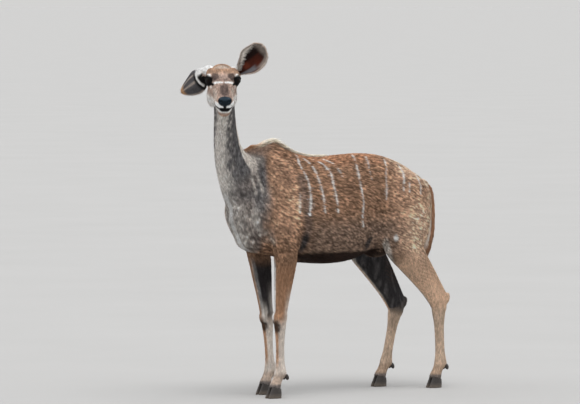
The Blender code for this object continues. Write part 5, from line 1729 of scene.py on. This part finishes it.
path = array_of([row[:3] for row in through(TAIL_STATIONS, 6)])
sizes = array_of([row[3:] for row in through(TAIL_STATIONS, 6)])
count = 2600
spot = chance.uniform(0.22, 1.0, count) * (len(path) - 1)
index = np.minimum(spot.astype(int), len(path) - 2)
part = (spot - index)[:, None]
core = blend(path[index], path[index + 1], part)
size = blend(sizes[index], sizes[index + 1], part)
fall = path[index + 1] - path[index]
fall /= np.linalg.norm(fall, axis=1)[:, None]
turn = chance.uniform(0, 2 * math.pi, count)
out = np.stack((np.cos(turn), np.sin(turn), 0 * turn), axis=1)
out = flat_on(out, fall)
at = core + out * size[:, [0, 1, 0]] * 0.90
lie = flat_on(fall + out * chance.uniform(0.02, 0.16, (count, 1)) + 0.05 * chance.standard_normal((count, 3)), out)
share = spot / (len(path) - 1)
white = fade(-out[:, 0], 0.45, 0.85) * fade(share, 1.0, 0.7)
hue = blend(blend(FLANK, SPINE, 0.4), PALE * 1.15, white[:, None])
hue = blend(hue, BELLY_DARK_AND_SHADE, (0.85 * fade(share, 0.86, 0.98))[:, None])
hue = blend(hue, RUFOUS * 1.3, (0.5 * (chance.random(count) < 0.15))[:, None])
length = blend(0.030, 0.070, fade(share, 0.25, 0.75)) * chance.uniform(0.7, 1.15, count)
tail = add_hair(
    "tail_hair", at, out, lie, length, 0.0028, length * 0.07, np.stack((turn / 2 / math.pi, share), axis=1),
    [hue * 0.8, hue, hue, hue * 1.1], ((0.25, 0.7, 1.0), (0.65, 1.0, 0.8)),
)


# Eyes
# Large dark wet eyeballs, nearly black, with a brown iris and a level pupil.

eye_finish, thread, surface = new_finish("wet_eye", 0.06, 0.06)
ring = thread.node("ShaderNodeAttribute", {"attribute_name": "iris"}, out=2)
pupil = thread.node("ShaderNodeAttribute", {"attribute_name": "pupil"}, out=2)
rays = grains(thread, 420.0, 2.0)
brown = rays.towards((0.003, 0.0015, 0.001, 1.0), (0.012, 0.006, 0.003, 1.0))
iris = ring.towards((0.004, 0.003, 0.003, 1.0), brown)
feed(surface, "Base Color", pupil.towards(iris, (0.0015, 0.0015, 0.002, 1.0)))
feed(surface, "Roughness", 0.05 + 0.10 * rays)
surface.inputs["Coat Weight"].default_value = 0.14
surface.inputs["Coat Roughness"].default_value = 0.03
for side, word in ((LEFT, "right"), (RIGHT, "left")):
    centre, looks, across, lift = eye_frame(side)
    bm = bmesh.new()
    bmesh.ops.create_uvsphere(bm, u_segments=64, v_segments=48, radius=EYE_RADIUS, matrix=Matrix.Translation(centre))
    eye = piece_of("eyeball_" + word, bm)
    way = places_of(eye.data) - array_of(centre)
    a, v, d = (way @ array_of(w) / EYE_RADIUS for w in (across, lift, looks))
    # The cornea bulges a little.
    bulge = 1 + 0.035 * fade(d, 0.70, 0.95)
    eye.data.vertices.foreach_set("co", (array_of(centre) + way * bulge[:, None]).ravel())
    for name, values in (
        ("iris", fade(np.hypot(a, v), 0.70, 0.60) * (d > 0)),
        ("pupil", fade(np.hypot(a / 0.40, v / 0.22), 1.1, 0.9) * (d > 0)),
    ):
        eye.data.attributes.new(name, "FLOAT", "POINT").data.foreach_set("value", values)
    eye.data.shade_smooth()
    eye.data.materials.append(eye_finish)
    eye.data.transform(head_matrix())
    settled(eye)
    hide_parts("eye_" + word)


# Hooves
# Two pointed claws of dark horn to a foot, ringed as they grew, and two blunt dewclaws behind.

CLAW_LENGTH = 0.072
CLAW_WIDTH = 0.0275
CLAW_SPLIT = 0.0030


def claw_section(level, foot, side, length, width, shift):
    """The outline of one claw at a level: straight inside, rounded outside and pointed in front."""

    def point(angle):
        forward, outward = math.cos(angle), math.sin(angle)
        taper = 1.0 - 0.42 * max(0.0, forward) ** 1.5
        x = foot.x + shift - length / 2 * rounded(forward, 0.85)
        middle = CLAW_SPLIT / 2 + width / 2 - width * 0.10 * max(0.0, forward)
        y = side * (middle + width / 2 * rounded(outward, 0.7) * taper)
        z = level + (foot.x - x) * math.tan(CORONET_TILT) * (level / CORONET_HEIGHT)
        return Vector((x, foot.y + y, z))

    return point


CLAW_ROWS = (
    # share of the height, length, width, shift
    (0.000, 0.975, 0.970, -0.0100),
    (0.030, 1.000, 1.000, -0.0100),
    (0.120, 1.010, 1.030, -0.0100),
    (0.550, 0.860, 1.000, -0.0030),
    (0.900, 0.720, 0.950, 0.0006),
    (1.000, 0.660, 0.880, 0.0010),
)
horn_finish, thread, surface = new_finish("hoof_horn", 0.45, 0.4)
grain = grains(thread, 60.0, 3.0, (1.0, 1.0, 6.0))
scratch = grains(thread, 700.0, 2.0, (1.0, 1.0, 0.15))
dust = thread.node("ShaderNodeTexCoord", out=3)
low = thread.node("ShaderNodeSeparateXYZ", None, {0: dust}, out=2).between(0.026, 0.002)
horn = grain.towards((0.016, 0.014, 0.014, 1.0), (0.055, 0.045, 0.038, 1.0))
feed(surface, "Base Color", (low * grain).towards(horn, (0.190, 0.150, 0.115, 1.0)))
feed(surface, "Roughness", 0.36 + 0.35 * scratch)
feed(surface, "Normal", thread.node(
    "ShaderNodeBump", None, {"Height": grain * 0.7 + scratch * 0.3, "Strength": 0.35, "Distance": 0.0010}
))
for name in LEGS:
    foot, fetlock = Vector(LEGS[name][4]), Vector(LEGS[name][3])
    for side, word in ((LEFT, "left"), (RIGHT, "right")):
        bm = bmesh.new()
        sections = []
        for k, (share, long, wide, shift) in enumerate(through(CLAW_ROWS, 5)):
            ridge = 1 + 0.010 * math.sin(k * 2.1) * math.sin(math.pi * min(1.0, share))
            level = (CORONET_HEIGHT - 0.0004) * min(1.0, max(0.0, share))
            sections.append(claw_section(level, foot, side, CLAW_LENGTH * long * ridge, CLAW_WIDTH * wide * ridge, shift))
        add_loft(bm, sections, 40)
        claw = piece_of(name + "_horn_" + word, bm)
        bm = bmesh.new()
        nub = fetlock + Vector((0.031, side * 0.0135, -0.026))
        add_ellipsoid(bm, nub, (0.0105, 0.0085, 0.0165), math.radians(-24), 0.0, 24)
        spur = piece_of(name + "_spur_" + word, bm)
        for piece, node in ((claw, name + "_claw_" + word), (spur, name + "_dewclaw_" + word)):
            piece.data.shade_smooth()
            piece.data.materials.append(horn_finish)
            settled(piece)
            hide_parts(node)
